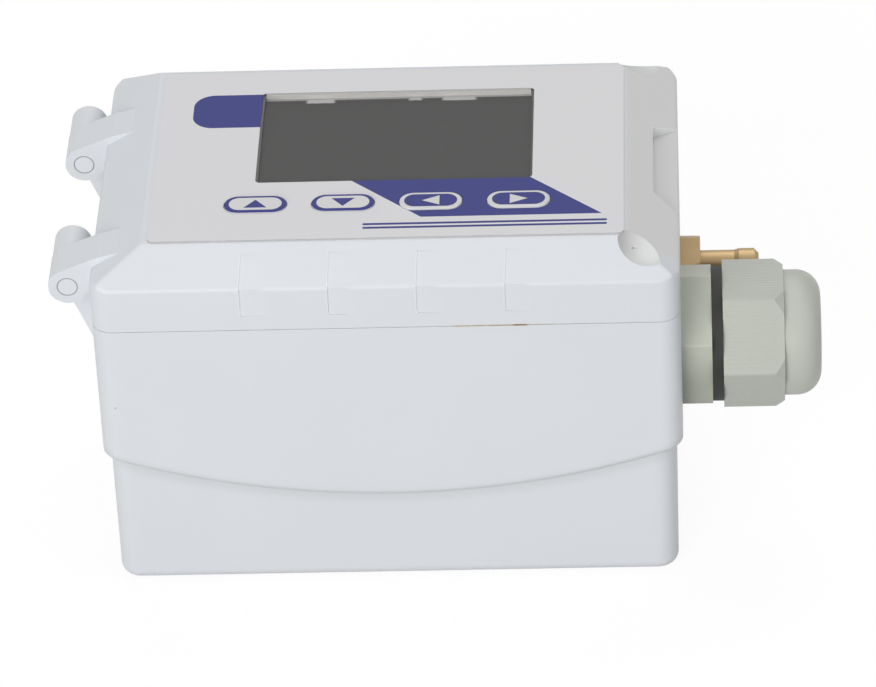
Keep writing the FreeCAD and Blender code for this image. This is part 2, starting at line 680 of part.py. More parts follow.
for name, x in zip(key_names, key_spots):
    well = block("key_well_" + name, "key_length + 2 * key_play", "key_width + 2 * key_play",
                 "key_width / 2 + key_play - 0.01", lid_top + " - key_well", "key_well + 1")
    bind(well, Placement__Base__x=x, Placement__Base__y="0 - " + key_line)
    lid_cuts.append(well)
    lid_cuts.append(rod("plunger_hole_" + name, "Z", "plunger_radius + plunger_play",
                        (plate_low + " - 1", lid_top), (x, "(0 - %s)" % key_line)))
for sign_x in ("(0 - %s)" % stand_x, stand_x):
    for sign_y in ("(0 - stand_y)", "stand_y"):
        lid_cuts.append(rod("stand_hole", "Z", "screw_radius + screw_play",
                            (show_top + " - 1", show_top + " + screw_bite + 0.4"), (sign_x, sign_y)))
for side, sign in (("front", "0 - "), ("rear", "")):
    ball = doc.addObject("Part::Sphere", "dish_ball_" + side)
    bind(ball, Radius="dish_ball")
    place(ball, "dish_x + dish_ball * 0.272", sign + "(dish_y + dish_ball * 0.336)",
          lid_top + " + dish_ball * 0.453")
    lid_cuts.append(ball)
    lid_cuts.append(rod("dish_pit_" + side, "Z", "pit_radius", (lid_top + " - 3.1", lid_top),
                        ("dish_x - dish_ball * 0.069", sign + "(dish_y - dish_ball * 0.087)")))
for side, middle in hinge_sides.items():
    lid_cuts.append(rod("arm_hole_" + side, "Y", "pin_radius + pin_play",
                        (middle + " - hinge_length", middle + " + hinge_length"), (hinge_x, hinge_z)))
    lid_cuts.append(box("arm_end_" + side, (hinge_x + " - 2 * arm_radius", "0 - %s" % half_width),
                        (middle + " + hinge_length / 2 - knuckle_width - arm_gap", middle + " + hinge_length"),
                        (hinge_z + " - 2 * arm_radius", hinge_z + " + 2 * arm_radius")))
notch_plan = profile("notch_plan", "XY_Plane", [
    ("%s - notch_run" % half_width, "0 - notch_inner / 2"),
    ("%s + 1" % half_width, "0 - notch_inner / 2 - notch_flare / notch_run * (notch_run + 1)"),
    ("%s + 1" % half_width, "notch_inner / 2 + notch_flare / notch_run * (notch_run + 1)"),
    ("%s - notch_run" % half_width, "notch_inner / 2"),
], "4 * lid_rise")
bind(notch_plan, Placement__Base__z=lid_brow)
notch_fall = "((notch_run * %s + notch_sink - notch_deep) / notch_run)" % side_slope
notch_side = profile("notch_side", "XZ_Plane", [
    ("%s - notch_run - 1" % half_width, lid_brow + " - notch_sink + %s * (notch_run + 1)" % notch_fall),
    ("%s + 1" % half_width, lid_brow + " - notch_sink - " + notch_fall),
    ("%s + 1" % half_width, lid_top + " + 1"),
    ("%s - notch_run - 1" % half_width, lid_top + " + 1"),
], "2 * notch_inner")
lid_cuts.append(common("notch", [notch_plan, notch_side]))
brow_y = "(0 - %s)" % half_depth
grip_run = "((%s - %s) / %s)" % (grip_high, lid_brow, front_slope)
grip_tilt = FreeCAD.Rotation(Vec(1, 0, 0), Vec(sizes.grip_width, -sizes.grip_depth, 0))
for step in range(4):
    grip = profile("grip_%d" % step, "YZ_Plane", [
        ("-2", grip_low),
        ("grip_depth / 2", grip_low),
        ("grip_depth / 2", lid_brow + " - grip_depth * 0.2"),
        (grip_run + " + grip_depth / 2", grip_high + " - grip_depth * 0.2"),
        (grip_run + " - grip_depth * 2", grip_high + " + grip_depth * 2"),
        ("-2", lid_brow + " + 1"),
    ], "grip_width")
    grip.Placement.Rotation = grip_tilt
    bind(grip, Placement__Base__x="face_shift + key_pitch * %d - grip_first + grip_width / 2" % step,
         Placement__Base__y=brow_y)
    lid_cuts.append(grip)
lid_cover = cut("lid_cover", lid_solid, lid_cuts)

# Face label, window film and keys
label_sheet = block("label_sheet", "label_length", "label_width", "1", lid_top, "label_thick")
bind(label_sheet, Placement__Base__x="face_shift", Placement__Base__y="label_y")
label_cuts = []
label_window = block("label_window", "window_length", "window_width", "0.8", lid_top + " - 1", "label_thick + 2")
bind(label_window, Placement__Base__x=window_mid, Placement__Base__y="window_y")
label_cuts.append(label_window)
for name, x in zip(key_names, key_spots):
    opening = block("label_key_" + name, "key_length + 2 * key_play", "key_width + 2 * key_play",
                    "key_width / 2 + key_play - 0.01", lid_top + " - 1", "label_thick + 2")
    bind(opening, Placement__Base__x=x, Placement__Base__y="0 - " + key_line)
    label_cuts.append(opening)
face_label = cut("face_label", label_sheet, label_cuts)
window_film = block("window_film", "window_length", "window_width", "0.8", lid_top, "label_thick")
bind(window_film, Placement__Base__x=window_mid, Placement__Base__y="window_y")
key_top = "(%s + key_proud)" % label_top
key_low = "(%s - key_thick)" % key_top
switch_top = "(%s + switch_tall)" % show_top
stem_top = "(%s + 1)" % switch_top
keys = {}
stems = {}
for name, x in zip(key_names, key_spots):
    cap = block("key_cap_" + name, "key_length", "key_width", "key_width / 2 - 0.01",
                key_low, "key_thick", "key_edge")
    bind(cap, Placement__Base__x=x, Placement__Base__y="0 - " + key_line)
    plunger = rod("key_plunger_" + name, "Z", "plunger_radius", (stem_top, key_low + " + 0.2"),
                  (x, "(0 - %s)" % key_line))
    keys[name] = fuse("key_" + name, [cap, plunger])
    stems[name] = rod("switch_stem_" + name, "Z", "stem_radius", (stem_top + " - stem_tall", stem_top),
                      (x, "(0 - %s)" % key_line))


# Screws with a slot, head on the side the sign gives
def screw(name, x, y, seat, sign):
    low = "(%s %s screw_bite)" % (seat, "-" if sign > 0 else "+")
    high = "(%s %s screw_tall)" % (seat, "+" if sign > 0 else "-")
    edge = "(%s %s slot_deep)" % (high, "-" if sign > 0 else "+")
    past = "(%s %s 1)" % (high, "+" if sign > 0 else "-")
    shank_span = (low, seat) if sign > 0 else (seat, low)
    head_span = (seat, high) if sign > 0 else (high, seat)
    slot_span = (edge, past) if sign > 0 else (past, edge)
    shank = rod(name + "_shank", "Z", "screw_radius", shank_span, (x, y))
    head = rod(name + "_head", "Z", "screw_head", head_span, (x, y))
    slot = box(name + "_slot", (x + " - screw_head - 1", x + " + screw_head + 1"),
               (y + " - slot_wide / 2", y + " + slot_wide / 2"), slot_span)
    return cut(name, fuse(name + "_blank", [shank, head]), [slot])


# Main board with its screws and parts
board_blank = box("main_board_blank", ("0 - " + board_left, board_right), ("0 - board_half", "board_half"),
                  ("board_level", board_top))
main_board = cut("main_board", board_blank, [
    rod("board_hole_" + post, "Z", "screw_radius + 0.2", ("board_level - 1", board_top + " + 1"), (x, y))
    for post, x, y in base_posts()])
main_board_screws = group("main_board_screws", [
    screw("board_screw_" + post, x, y, board_top, 1) for post, x, y in base_posts()])
terminal_end = "(%s - terminal_inset)" % board_right
terminal_x = (terminal_end + " - terminal_wide", terminal_end)
terminal_mid = "(0 - terminal_line)"
terminal_y = ("(%s - terminal_long / 2)" % terminal_mid, "(%s + terminal_long / 2)" % terminal_mid)
terminal_top = "(%s + terminal_tall)" % board_top
block_blank = box("terminal_blank", terminal_x, terminal_y, (board_top, terminal_top))
block_cuts = []
screw_list = []
for step in range(4):
    y = "(%s + terminal_pitch * %s)" % (terminal_mid, step - 1.5)
    block_cuts.append(rod("wire_entry_%d" % step, "X", "terminal_entry",
                          (terminal_end + " - terminal_wide * 0.7", board_right),
                          (y, board_top + " + terminal_tall * 0.3")))
    mid = "(%s - terminal_wide / 2)" % terminal_end
    block_cuts.append(rod("screw_well_%d" % step, "Z", "terminal_screw + 0.3",
                          (terminal_top + " - terminal_well", terminal_top + " + 1"), (mid, y)))
    head = rod("terminal_head_%d" % step, "Z", "terminal_screw",
               (terminal_top + " - terminal_well", terminal_top + " - terminal_well * 0.4"), (mid, y))
    kerf = box("terminal_kerf_%d" % step, (mid + " - 3", mid + " + 3"),
               (y + " - slot_wide / 2", y + " + slot_wide / 2"),
               (terminal_top + " - terminal_well * 0.4 - slot_deep", terminal_top))
    screw_list.append(cut("terminal_screw_%d" % step, head, [kerf]))
terminal_block = cut("terminal_block", block_blank, block_cuts)
terminal_screws = group("terminal_screws", screw_list)
header_x = ("0.5 - " + board_left, "(0.5 + header_long - %s)" % board_left)


def ribbon_header(name, low, high, slot_low, slot_high):
    blank = box(name + "_blank", header_x, ("0 - header_wide / 2", "header_wide / 2"), (low, high))
    slot = box(name + "_slot", (header_x[1] + " - plug_deep", header_x[1] + " + 1"),
               ("0 - plug_wide / 2", "plug_wide / 2"), (slot_low, slot_high))
    return cut(name, blank, [slot])


board_header = ribbon_header("board_header", board_top, board_top + " + header_tall",
                             board_top + " + ribbon_level - plug_tall / 2",
                             board_top + " + ribbon_level + plug_tall / 2")
chip_parts = [box("chip_case", ("chip_x - chip_side / 2", "chip_x + chip_side / 2"),
                  ("chip_y - chip_side / 2", "chip_y + chip_side / 2"),
                  (board_top + " + leg_thick / 2", board_top + " + chip_tall"))]
leg_span = ("(chip_side / 2 - leg_thick)", "(chip_side / 2 + leg_reach)")
for step in range(10):
    low = "(leg_pitch * %s - leg_wide / 2)" % (step - 4.5)
    high = "(%s + leg_wide)" % low
    feet = (board_top, board_top + " + leg_thick")
    for sign, span in (("+", leg_span), ("-", (leg_span[1], leg_span[0]))):
        reach = ("chip_x %s %s" % (sign, span[0]), "chip_x %s %s" % (sign, span[1]))
        chip_parts.append(box("chip_leg", reach, ("chip_y + " + low, "chip_y + " + high), feet))
        reach = ("chip_y %s %s" % (sign, span[0]), "chip_y %s %s" % (sign, span[1]))
        chip_parts.append(box("chip_leg", ("chip_x + " + low, "chip_x + " + high), reach, feet))
controller_chip = cut("controller_chip", fuse("chip_blank", chip_parts), [
    rod("chip_dot", "Z", "dot_radius", (board_top + " + chip_tall - leg_thick", board_top + " + chip_tall + 1"),
        ("(chip_x - chip_side * 0.36)", "(chip_y + chip_side * 0.36)"))])
can_top = "(%s + can_tall)" % board_top
can = rod("capacitor_can", "Z", "can_radius", (board_top, can_top), ("can_x", "can_y"))
crimp_low = "(%s + crimp_lift)" % board_top
crimp_ring = cut("capacitor_crimp",
                 rod("crimp_outer", "Z", "can_radius + 1", (crimp_low, crimp_low + " + crimp_tall"), ("can_x", "can_y")),
                 [rod("crimp_inner", "Z", "can_radius - crimp_deep",
                      (crimp_low + " - 1", crimp_low + " + crimp_tall + 1"), ("can_x", "can_y"))])
filter_capacitor = cut("filter_capacitor", can, [
    crimp_ring,
    box("capacitor_vent", ("can_x - can_radius", "can_x + can_radius"),
        ("can_y - vent_wide / 2", "can_y + vent_wide / 2"), (can_top + " - vent_deep", can_top + " + 1"))])

# Pressure sensor module, hose, barb, washer and nut
sensor_top = "(%s + sensor_tall)" % board_top
nipple_top = "(%s + hose_bite + 2)" % sensor_top
sensor_x = "(%s - terminal_wide - sensor_room - sensor_side / 2)" % terminal_end
sensor_axis = (sensor_x, barb_y)
sensor_case = box("sensor_case", (sensor_x + " - sensor_side / 2", sensor_x + " + sensor_side / 2"),
                  (barb_y + " - sensor_side / 2", barb_y + " + sensor_side / 2"), (board_top, sensor_top))
sensor_neck = rod("sensor_neck", "Z", "sensor_side * 0.36",
                  (sensor_top + " - 1", sensor_top + " + 1.5"), sensor_axis)
sensor_nipple = rod("sensor_nipple", "Z", "nipple_radius", (sensor_top, nipple_top), sensor_axis)
sensor_bore = rod("sensor_bore", "Z", "barb_bore", (sensor_top + " - 3", nipple_top + " + 1"), sensor_axis)
sensor_module = cut("sensor_module", fuse("sensor_blank", [sensor_case, sensor_neck, sensor_nipple]), [sensor_bore])
hose_low = "(%s - hose_bite)" % nipple_top
bend_low = "(%s - hose_bend)" % barb_level
tail_end = "(%s - washer_thick - barb_nut_thick - hose_bite - 1.5)" % cavity_x
hose_end = "(%s + hose_bite)" % tail_end


def swept_hose(name):
    body = doc.addObject("PartDesign::Body", name)
    rise = "(%s - %s)" % (bend_low, hose_low)
    run = "(%s - %s - hose_bend)" % (hose_end, sensor_x)
    bend = float(sizes.hose_bend)
    path = new_sketch(body, name + "_path", "XZ_Plane")
    path.addGeometry(Part.LineSegment(Vec(0, 0, 0), Vec(0, bend, 0)))
    circle = Part.Circle(Vec(bend, bend, 0), Vec(0, 0, 1), bend)
    path.addGeometry(Part.ArcOfCircle(circle, math.pi / 2, math.pi))
    path.addGeometry(Part.LineSegment(Vec(bend, 2 * bend, 0), Vec(3 * bend, 2 * bend, 0)))
    path.addConstraint(Sketcher.Constraint("Coincident", 0, 1, -1, 1))
    path.addConstraint(Sketcher.Constraint("Vertical", 0))
    path.addConstraint(Sketcher.Constraint("Horizontal", 2))
    path.addConstraint(Sketcher.Constraint("Tangent", 0, 2, 1, 2))
    path.addConstraint(Sketcher.Constraint("Tangent", 1, 1, 2, 1))
    bound = [
        (Sketcher.Constraint("DistanceY", 0, 1, 0, 2, bend), rise),
        (Sketcher.Constraint("Radius", 1, bend), "hose_bend"),
        (Sketcher.Constraint("DistanceX", 2, 1, 2, 2, 2 * bend), run),
    ]
    ring = new_sketch(body, name + "_ring", "XY_Plane")
    for sketch, pairs in ((path, bound), (ring, [])):
        for constraint, text in pairs:
            number = sketch.addConstraint(constraint)
            sketch.setExpression("Constraints[%d]" % number, sheet_text(text))
    for i, radius in enumerate(("hose_radius", "hose_bore")):
        ring.addGeometry(Part.Circle(Vec(0, 0, 0), Vec(0, 0, 1), 3 - i))
        ring.addConstraint(Sketcher.Constraint("Coincident", i, 3, -1, 1))
        number = ring.addConstraint(Sketcher.Constraint("Radius", i, 3 - i))
        ring.setExpression("Constraints[%d]" % number, sheet_text(radius))
    pipe = body.newObject("PartDesign::AdditivePipe", name + "_pipe")
    pipe.Profile = ring
    pipe.Spine = (path, ["Edge1", "Edge2", "Edge3"])
    place(body, sensor_x, barb_y, hose_low)
    doc.recompute()
    return body


sensor_hose = swept_hose("sensor_hose")
barb_end = "(%s + barb_long)" % wall_face
land_low = "(%s + land_start)" % wall_face
land_high = "(%s + land_long)" % land_low
barb_parts = [
    common("barb_hex_round", [
        hexagon("barb_hexagon", "barb_flats", (wall_face, wall_face + " + barb_hex"), barb_axis),
        cone("barb_hex_cone", "X", ("barb_flats * 0.8", "barb_flats * 0.53"),
             (wall_face + " - barb_hex", wall_face + " + barb_hex"), barb_axis)]),
    rod("barb_stem", "X", "barb_shaft", (tail_end, barb_end + " - 0.6"), barb_axis),
    rod("barb_land_ring", "X", "barb_land", (land_low, land_high), barb_axis),
    cone("barb_tip", "X", ("barb_shaft", "barb_shaft * 0.72"), (barb_end + " - 0.6", barb_end), barb_axis),
    cone("barb_ramp", "X", ("barb_shaft", "barb_land"), (land_low + " - 0.8", land_low), barb_axis),
    rod("barb_screw", "X", "barb_thread", (cavity_x + " - washer_thick - barb_nut_thick - 1", wall_face), barb_axis),
]
barb_blank = fuse("barb_blank", barb_parts)
hose_barb = cut("hose_barb", barb_blank, [
    rod("barb_drill", "X", "barb_bore", (tail_end + " - 1", barb_end + " + 1"), barb_axis),
    cut("barb_tail_trim",
        rod("barb_tail_outer", "X", "barb_thread", (tail_end + " - 1", hose_end + " + 0.3"), barb_axis),
        [rod("barb_tail_inner", "X", "nipple_radius", (tail_end + " - 2", hose_end + " + 1"), barb_axis)]),
])
barb_washer = cut("barb_washer",
                  rod("washer_disc", "X", "barb_nut_flats * 0.5",
                      (cavity_x + " - washer_thick", cavity_x), barb_axis),
                  [rod("washer_hole", "X", "barb_thread + 0.1", (cavity_x + " - 3", cavity_x + " + 1"), barb_axis)])
barb_nut_low = "(%s - washer_thick - barb_nut_thick)" % cavity_x
barb_nut = cut("barb_nut",
               hexagon("barb_nut_hex", "barb_nut_flats", (barb_nut_low, cavity_x + " - washer_thick"), barb_axis),
               [rod("barb_nut_hole", "X", "barb_thread + 0.03", (barb_nut_low + " - 1", cavity_x), barb_axis)])

# Cable gland: body, rubber ring, cable seal, locknut and cap nut
gland_hex_end = "(%s + gland_hex)" % wall_face
gland_band_end = "(%s + gland_band)" % gland_hex_end
cap_hex_end = "(%s + cap_hex)" % gland_band_end
dome_end = "(%s + dome_long)" % cap_hex_end
gland_tail = "(%s - tail_long)" % cavity_x
neck_end = "(%s + cap_hex * 0.6)" % gland_band_end
seal_low = "(%s - seal_long + 0.8)" % cap_hex_end
gland_body = cut("gland_body", fuse("gland_blank", [
    common("gland_hex_round", [
        hexagon("gland_hexagon", "gland_flats", (wall_face, gland_hex_end), gland_axis, 4.5),
        rod("gland_hex_limit", "X", "gland_round", (wall_face + " - 1", gland_hex_end + " + 1"), gland_axis)]),
    rod("gland_thread", "X", "thread_radius", (gland_tail, wall_face + " + 1"), gland_axis),
    rod("gland_neck", "X", "neck_radius", (gland_hex_end + " - 1", neck_end), gland_axis),
]), [rod("gland_drill", "X", "gland_bore", (gland_tail + " - 1", neck_end + " + 1"), gland_axis)])
gland_ring = cut("gland_ring",
                 rod("gland_ring_disc", "X", "gland_band_radius", (gland_hex_end, gland_band_end), gland_axis),
                 [rod("gland_ring_hole", "X", "neck_radius + 0.02",
                      (gland_hex_end + " - 1", gland_band_end + " + 1"), gland_axis)])
seal_end = "(%s + 0.8)" % cap_hex_end
gland_seal = cut("gland_seal",
                 rod("seal_plug", "X", "gland_bore - seal_play", (seal_low, seal_end), gland_axis),
                 [rod("seal_hole", "X", "cable_radius", (seal_low + " - 1", seal_end + " + 1"), gland_axis)])
locknut_low = "(%s - nut_thick)" % cavity_x
gland_locknut = cut("gland_locknut", common("locknut_round", [
    hexagon("locknut_hex", "gland_flats", (locknut_low, cavity_x), gland_axis),
    rod("locknut_limit", "X", "gland_round", (locknut_low + " - 1", cavity_x + " + 1"), gland_axis)]),
    [rod("locknut_hole", "X", "thread_radius + 0.03", (locknut_low + " - 1", cavity_x + " + 1"), gland_axis)])
dome = lay(disc("dome", "dome_radius", "dome_long + 1", "dome_round"), "X", cap_hex_end + " - 1", gland_axis)
cap_hexagon = hexagon("cap_hexagon", "gland_flats", (gland_band_end, cap_hex_end), gland_axis, 29.5)
gland_cap = cut("gland_cap", fuse("cap_blank", [
    common("cap_hex_round", [
        cap_hexagon,
        rod("cap_limit", "X", "gland_round", (gland_band_end + " - 1", cap_hex_end + " + 1"), gland_axis),
        cone("cap_slope", "X", ("gland_round + 7", "gland_round - 1"),
             (gland_band_end + " - 2", cap_hex_end), gland_axis)]),
    dome,
]), [
    rod("cap_thread", "X", "neck_radius + neck_play", (gland_band_end + " - 1", seal_end), gland_axis),
    rod("cap_mouth", "X", "mouth_radius", (gland_band_end, dome_end + " + 1"), gland_axis),
])

# Display board, display, switches, header and ribbon
show_blank = box("display_board_blank", ("0 - " + show_left, show_right), ("0 - show_half_y", "show_half_y"),
                 (show_low, show_top))
show_holes = []
show_screws = []
for sign_x in ("(0 - %s)" % stand_x, stand_x):
    for sign_y in ("(0 - stand_y)", "stand_y"):
        show_holes.append(rod("show_hole", "Z", "screw_radius + 0.2", (show_low + " - 1", show_top + " + 1"),
                              (sign_x, sign_y)))
        show_screws.append(screw("show_screw", sign_x, sign_y, show_low, -1))
display_board = cut("display_board", show_blank, show_holes)
display_board_screws = group("display_board_screws", show_screws)
glass_top = "(%s - window_lip - 0.05)" % lid_top
glass_low = "(%s - glass_thick)" % glass_top
display_glass = box("display_glass", (window_mid + " - glass_length / 2", window_mid + " + glass_length / 2"),
                    ("window_y - glass_width / 2", "window_y + glass_width / 2"), (glass_low, glass_top))
backlight = box("backlight",
                (window_mid + " - glass_length / 2 - frame_grow", window_mid + " + glass_length / 2 + frame_grow"),
                ("window_y - glass_width / 2 - frame_grow", "window_y + glass_width / 2 + frame_grow"),
                (show_top, glass_low))
housings = []
for name, x in zip(key_names, key_spots):
    shell_box = box("switch_box_" + name, (x + " - switch_side / 2", x + " + switch_side / 2"),
                    ("0 - %s - switch_side / 2" % key_line, "switch_side / 2 - " + key_line), (show_top, switch_top))
    bore = rod("switch_bore_" + name, "Z", "stem_radius + stem_play",
               (stem_top + " - stem_tall - stem_room", switch_top + " + 1"), (x, "(0 - %s)" % key_line))
    housings.append(cut("switch_case_" + name, shell_box, [bore]))
switch_housings = group("switch_housings", housings)
display_header = ribbon_header("display_header", show_low + " - header_tall", show_low,
                               show_low + " - ribbon_level - plug_tall / 2",
                               show_low + " - ribbon_level + plug_tall / 2")
leg_low = "(%s + ribbon_level)" % board_top
leg_high = "(%s - ribbon_level)" % show_low
ribbon_y = ("0 - ribbon_wide / 2", "ribbon_wide / 2")
leg_start = "(%s - plug_deep)" % header_x[1]
leg_end = "(%s + ribbon_leg)" % header_x[1]
ribbon_mid = "((%s + %s) / 2)" % (leg_low, leg_high)
ribbon_bend = "((%s - %s) / 2)" % (leg_high, leg_low)
half_ring = cut("ribbon_arc",
                rod("ribbon_outer", "Y", ribbon_bend + " + ribbon_thick / 2", ribbon_y, (leg_end, ribbon_mid)),
                [rod("ribbon_inner", "Y", ribbon_bend + " - ribbon_thick / 2",
                     (ribbon_y[0] + " - 1", ribbon_y[1] + " + 1"), (leg_end, ribbon_mid)),
                 box("ribbon_half", (leg_end + " - 40", leg_end), (ribbon_y[0] + " - 1", ribbon_y[1] + " + 1"),
                     (ribbon_mid + " - 40", ribbon_mid + " + 40"))])
ribbon_cable = fuse("ribbon_cable", [half_ring] + [
    box("ribbon_leg_" + name, (leg_start, leg_end + " + 0.01"), ribbon_y,
        (height + " - ribbon_thick / 2", height + " + ribbon_thick / 2"))
    for name, height in (("low", leg_low), ("high", leg_high))])

# Named sub-parts
nodes = {
    "base_housing": base_housing,
    "lid_gasket": lid_gasket,
    "hinge_pins": hinge_pins,
    "main_board": main_board,
    "main_board_screws": main_board_screws,
    "terminal_block": terminal_block,
    "terminal_screws": terminal_screws,
    "board_header": board_header,
    "controller_chip": controller_chip,
    "filter_capacitor": filter_capacitor,
    "sensor_module": sensor_module,
    "sensor_hose": sensor_hose,
    "hose_barb": hose_barb,
    "barb_washer": barb_washer,
    "barb_nut": barb_nut,
    "gland_body": gland_body,
    "gland_ring": gland_ring,
    "gland_seal": gland_seal,
    "gland_locknut": gland_locknut,
    "gland_cap": gland_cap,
    "lid_cover": lid_cover,
    "face_label": face_label,
    "window_film": window_film,
    "display_board": display_board,
    "display_board_screws": display_board_screws,
    "display_glass": display_glass,
    "backlight": backlight,
    "switch_housings": switch_housings,
    "display_header": display_header,
    "ribbon_cable": ribbon_cable,
}
for name in key_names:
    nodes["key_" + name] = keys[name]
    nodes["switch_stem_" + name] = stems[name]

doc.recompute()
for item in doc.Objects:
    if "Invalid" in item.State or "Error" in item.State:
        raise RuntimeError("%s did not build: %s" % (item.Name, item.State))
os.makedirs("parts", exist_ok=True)
for name, item in nodes.items():
    item.Label = name
    if item.Shape.isNull() or not item.Shape.isValid():
        raise RuntimeError("%s has no valid shape" % name)
    item.Shape.exportStep("parts/%s.step" % name)
    print(name, len(item.Shape.Solids), round(item.Shape.Volume, 1))
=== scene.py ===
import bpy
import bmesh
import math
from mathutils import Matrix, Vector


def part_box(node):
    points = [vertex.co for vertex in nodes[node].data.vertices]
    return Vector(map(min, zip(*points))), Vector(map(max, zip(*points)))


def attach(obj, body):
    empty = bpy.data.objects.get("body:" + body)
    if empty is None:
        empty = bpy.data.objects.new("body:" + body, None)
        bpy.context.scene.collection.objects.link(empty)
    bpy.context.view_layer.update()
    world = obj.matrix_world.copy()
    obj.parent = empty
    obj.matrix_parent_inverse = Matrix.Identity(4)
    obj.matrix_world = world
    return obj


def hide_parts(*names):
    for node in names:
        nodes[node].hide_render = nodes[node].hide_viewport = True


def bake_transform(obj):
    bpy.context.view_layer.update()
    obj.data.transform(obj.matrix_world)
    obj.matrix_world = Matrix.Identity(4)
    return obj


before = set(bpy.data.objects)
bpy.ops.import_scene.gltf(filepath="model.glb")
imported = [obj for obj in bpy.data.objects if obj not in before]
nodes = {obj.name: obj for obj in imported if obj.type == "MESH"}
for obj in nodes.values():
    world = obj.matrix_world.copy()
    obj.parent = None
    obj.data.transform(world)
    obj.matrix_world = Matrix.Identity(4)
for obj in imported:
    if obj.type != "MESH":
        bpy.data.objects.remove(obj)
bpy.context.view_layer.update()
scene = bpy.context.scene
scene.view_settings.view_transform = "Standard"
print("frame loaded with", len(nodes), "nodes")


# a socket with arithmetic, so shader maths reads as an expression
class Wire:
    def __init__(self, finish, socket):
        self.finish = finish
        self.socket = socket

    def sum(self, kind, a, b=0.0):
        return self.finish.node("ShaderNodeMath", {"operation": kind}, {0: a, 1: b})

    def __add__(self, other):
        return self.sum("ADD", self, other)

    __radd__ = __add__

    def __sub__(self, other):
        return self.sum("SUBTRACT", self, other)

    def __rsub__(self, other):
        return self.sum("SUBTRACT", other, self)

    def __mul__(self, other):
        return self.sum("MULTIPLY", self, other)

    __rmul__ = __mul__

    def __pow__(self, other):
        return self.sum("POWER", self, other)

    def __gt__(self, other):
        return self.sum("GREATER_THAN", self, other)

    def __lt__(self, other):
        return self.sum("LESS_THAN", self, other)

    def __abs__(self):
        return self.sum("ABSOLUTE", self)

    def most(self, other):
        return self.sum("MAXIMUM", self, other)


# a material, with a method for each kind of node that its looks are made of
class Finish:
    def __init__(self, name):
        self.material = bpy.data.materials.new(name)
        self.material.use_nodes = True
        self.tree = self.material.node_tree
        self.shader = self.tree.nodes["Principled BSDF"]
        self.at = self.node("ShaderNodeTexCoord", {}, {}, "Object")
        split = self.node("ShaderNodeSeparateXYZ", {}, {0: self.at}).socket.node
        self.x, self.y, self.z = (Wire(self, split.outputs[i]) for i in range(3))

    def node(self, kind, settings, sockets, out=0):
        made = self.tree.nodes.new(kind)
        for key, value in settings.items():
            setattr(made, key, value)
        self.feed(made, sockets)
        return Wire(self, made.outputs[out])

    def feed(self, made, sockets):
        for key, value in sockets.items():
            if isinstance(value, Wire):
                self.tree.links.new(value.socket, made.inputs[key])
            else:
                made.inputs[key].default_value = value

    def noise(self, scale, detail=2.0, roughness=0.5):
        return self.node("ShaderNodeTexNoise", {}, {
            "Vector": self.at, "Scale": scale, "Detail": detail, "Roughness": roughness})

    def mix(self, factor, first, second):
        return self.node("ShaderNodeMix", {"data_type": "RGBA"}, {0: factor, 6: first, 7: second}, 2)

    def soft(self, value, low, high):
        return self.node("ShaderNodeMapRange", {"interpolation_type": "SMOOTHSTEP"},
                         {"Value": value, "From Min": low, "From Max": high})

    def bump(self, height, strength, distance):
        return self.node("ShaderNodeBump", {}, {"Height": height, "Strength": strength, "Distance": distance})

    def roundBox(self, cx, cy, hx, hy, r):
        qx = (abs(self.x - cx) - (hx - r)).most(0.0)
        qy = (abs(self.y - cy) - (hy - r)).most(0.0)
        return (qx * qx + qy * qy) < r * r

    def slantBox(self, cx, cy, hx, hy, slant):
        across = abs(self.x - cx - (self.y - cy) * slant) < hx
        return across * (abs(self.y - cy) < hy)

    def shade(self, **sockets):
        self.feed(self.shader, {key.replace("_", " "): value for key, value in sockets.items()})
        return self.material


def rgb(r, g, b):
    return (r, g, b, 1.0)


def toned(colour, share):
    return tuple(v * share for v in colour[:3]) + (1.0,)


millimetre = 0.001

# camera matched to the photograph, millimetres and degrees
view = {"yaw": -3.142, "pitch": 34.884, "roll": -2.923, "target": (6.92, 0.0, 26.41),
        "distance": 1012.5, "focalPixels": 5800.0, "frameWidth": 876.0, "sensorWidth": 36.0}


def makeCamera():
    yaw, pitch, roll = (math.radians(view[key]) for key in ("yaw", "pitch", "roll"))
    ahead = Vector((math.sin(yaw) * math.cos(pitch), math.cos(yaw) * math.cos(pitch), -math.sin(pitch)))
    right = Vector((math.cos(yaw), -math.sin(yaw), 0.0))
    down = ahead.cross(right)
    c, s = math.cos(roll), math.sin(roll)
    across = right * c - down * s
    below = right * s + down * c
    turn = Matrix((across, -below, -ahead)).transposed()
    lens = bpy.data.cameras.new("photoView")
    lens.sensor_fit = "HORIZONTAL"
    lens.sensor_width = view["sensorWidth"]
    lens.lens = view["focalPixels"] / view["frameWidth"] * view["sensorWidth"]
    lens.clip_start = 0.01
    camera = bpy.data.objects.new("photoView", lens)
    scene.collection.objects.link(camera)
    place = (Vector(view["target"]) - ahead * view["distance"]) * millimetre
    camera.matrix_world = Matrix.Translation(place) @ turn.to_4x4()
    scene.camera = camera


studio = {
    "lamps": [  # name, place, size, watts
        ("frontSoft", (-0.45, -1.10, 0.45), 0.9, 10.0),
        ("rightSoft", (1.10, -0.45, 0.75), 0.9, 2.8),
        ("topSoft", (0.0, 0.0, 1.35), 1.1, 1.4),
        ("backSoft", (0.0, 0.75, 1.15), 0.9, 4.8),
    ],
    "aim": (0, 0, 0.03),
    "white": rgb(1.0, 1.0, 1.0),
    "worldLevel": 0.30,
    "floorTint": rgb(0.50, 0.50, 0.50),
    "floorGlow": 0.80,
    "floorWhite": 1.145,
    "floorHalf": 3.0,
    "floorDrop": 0.0002,
}


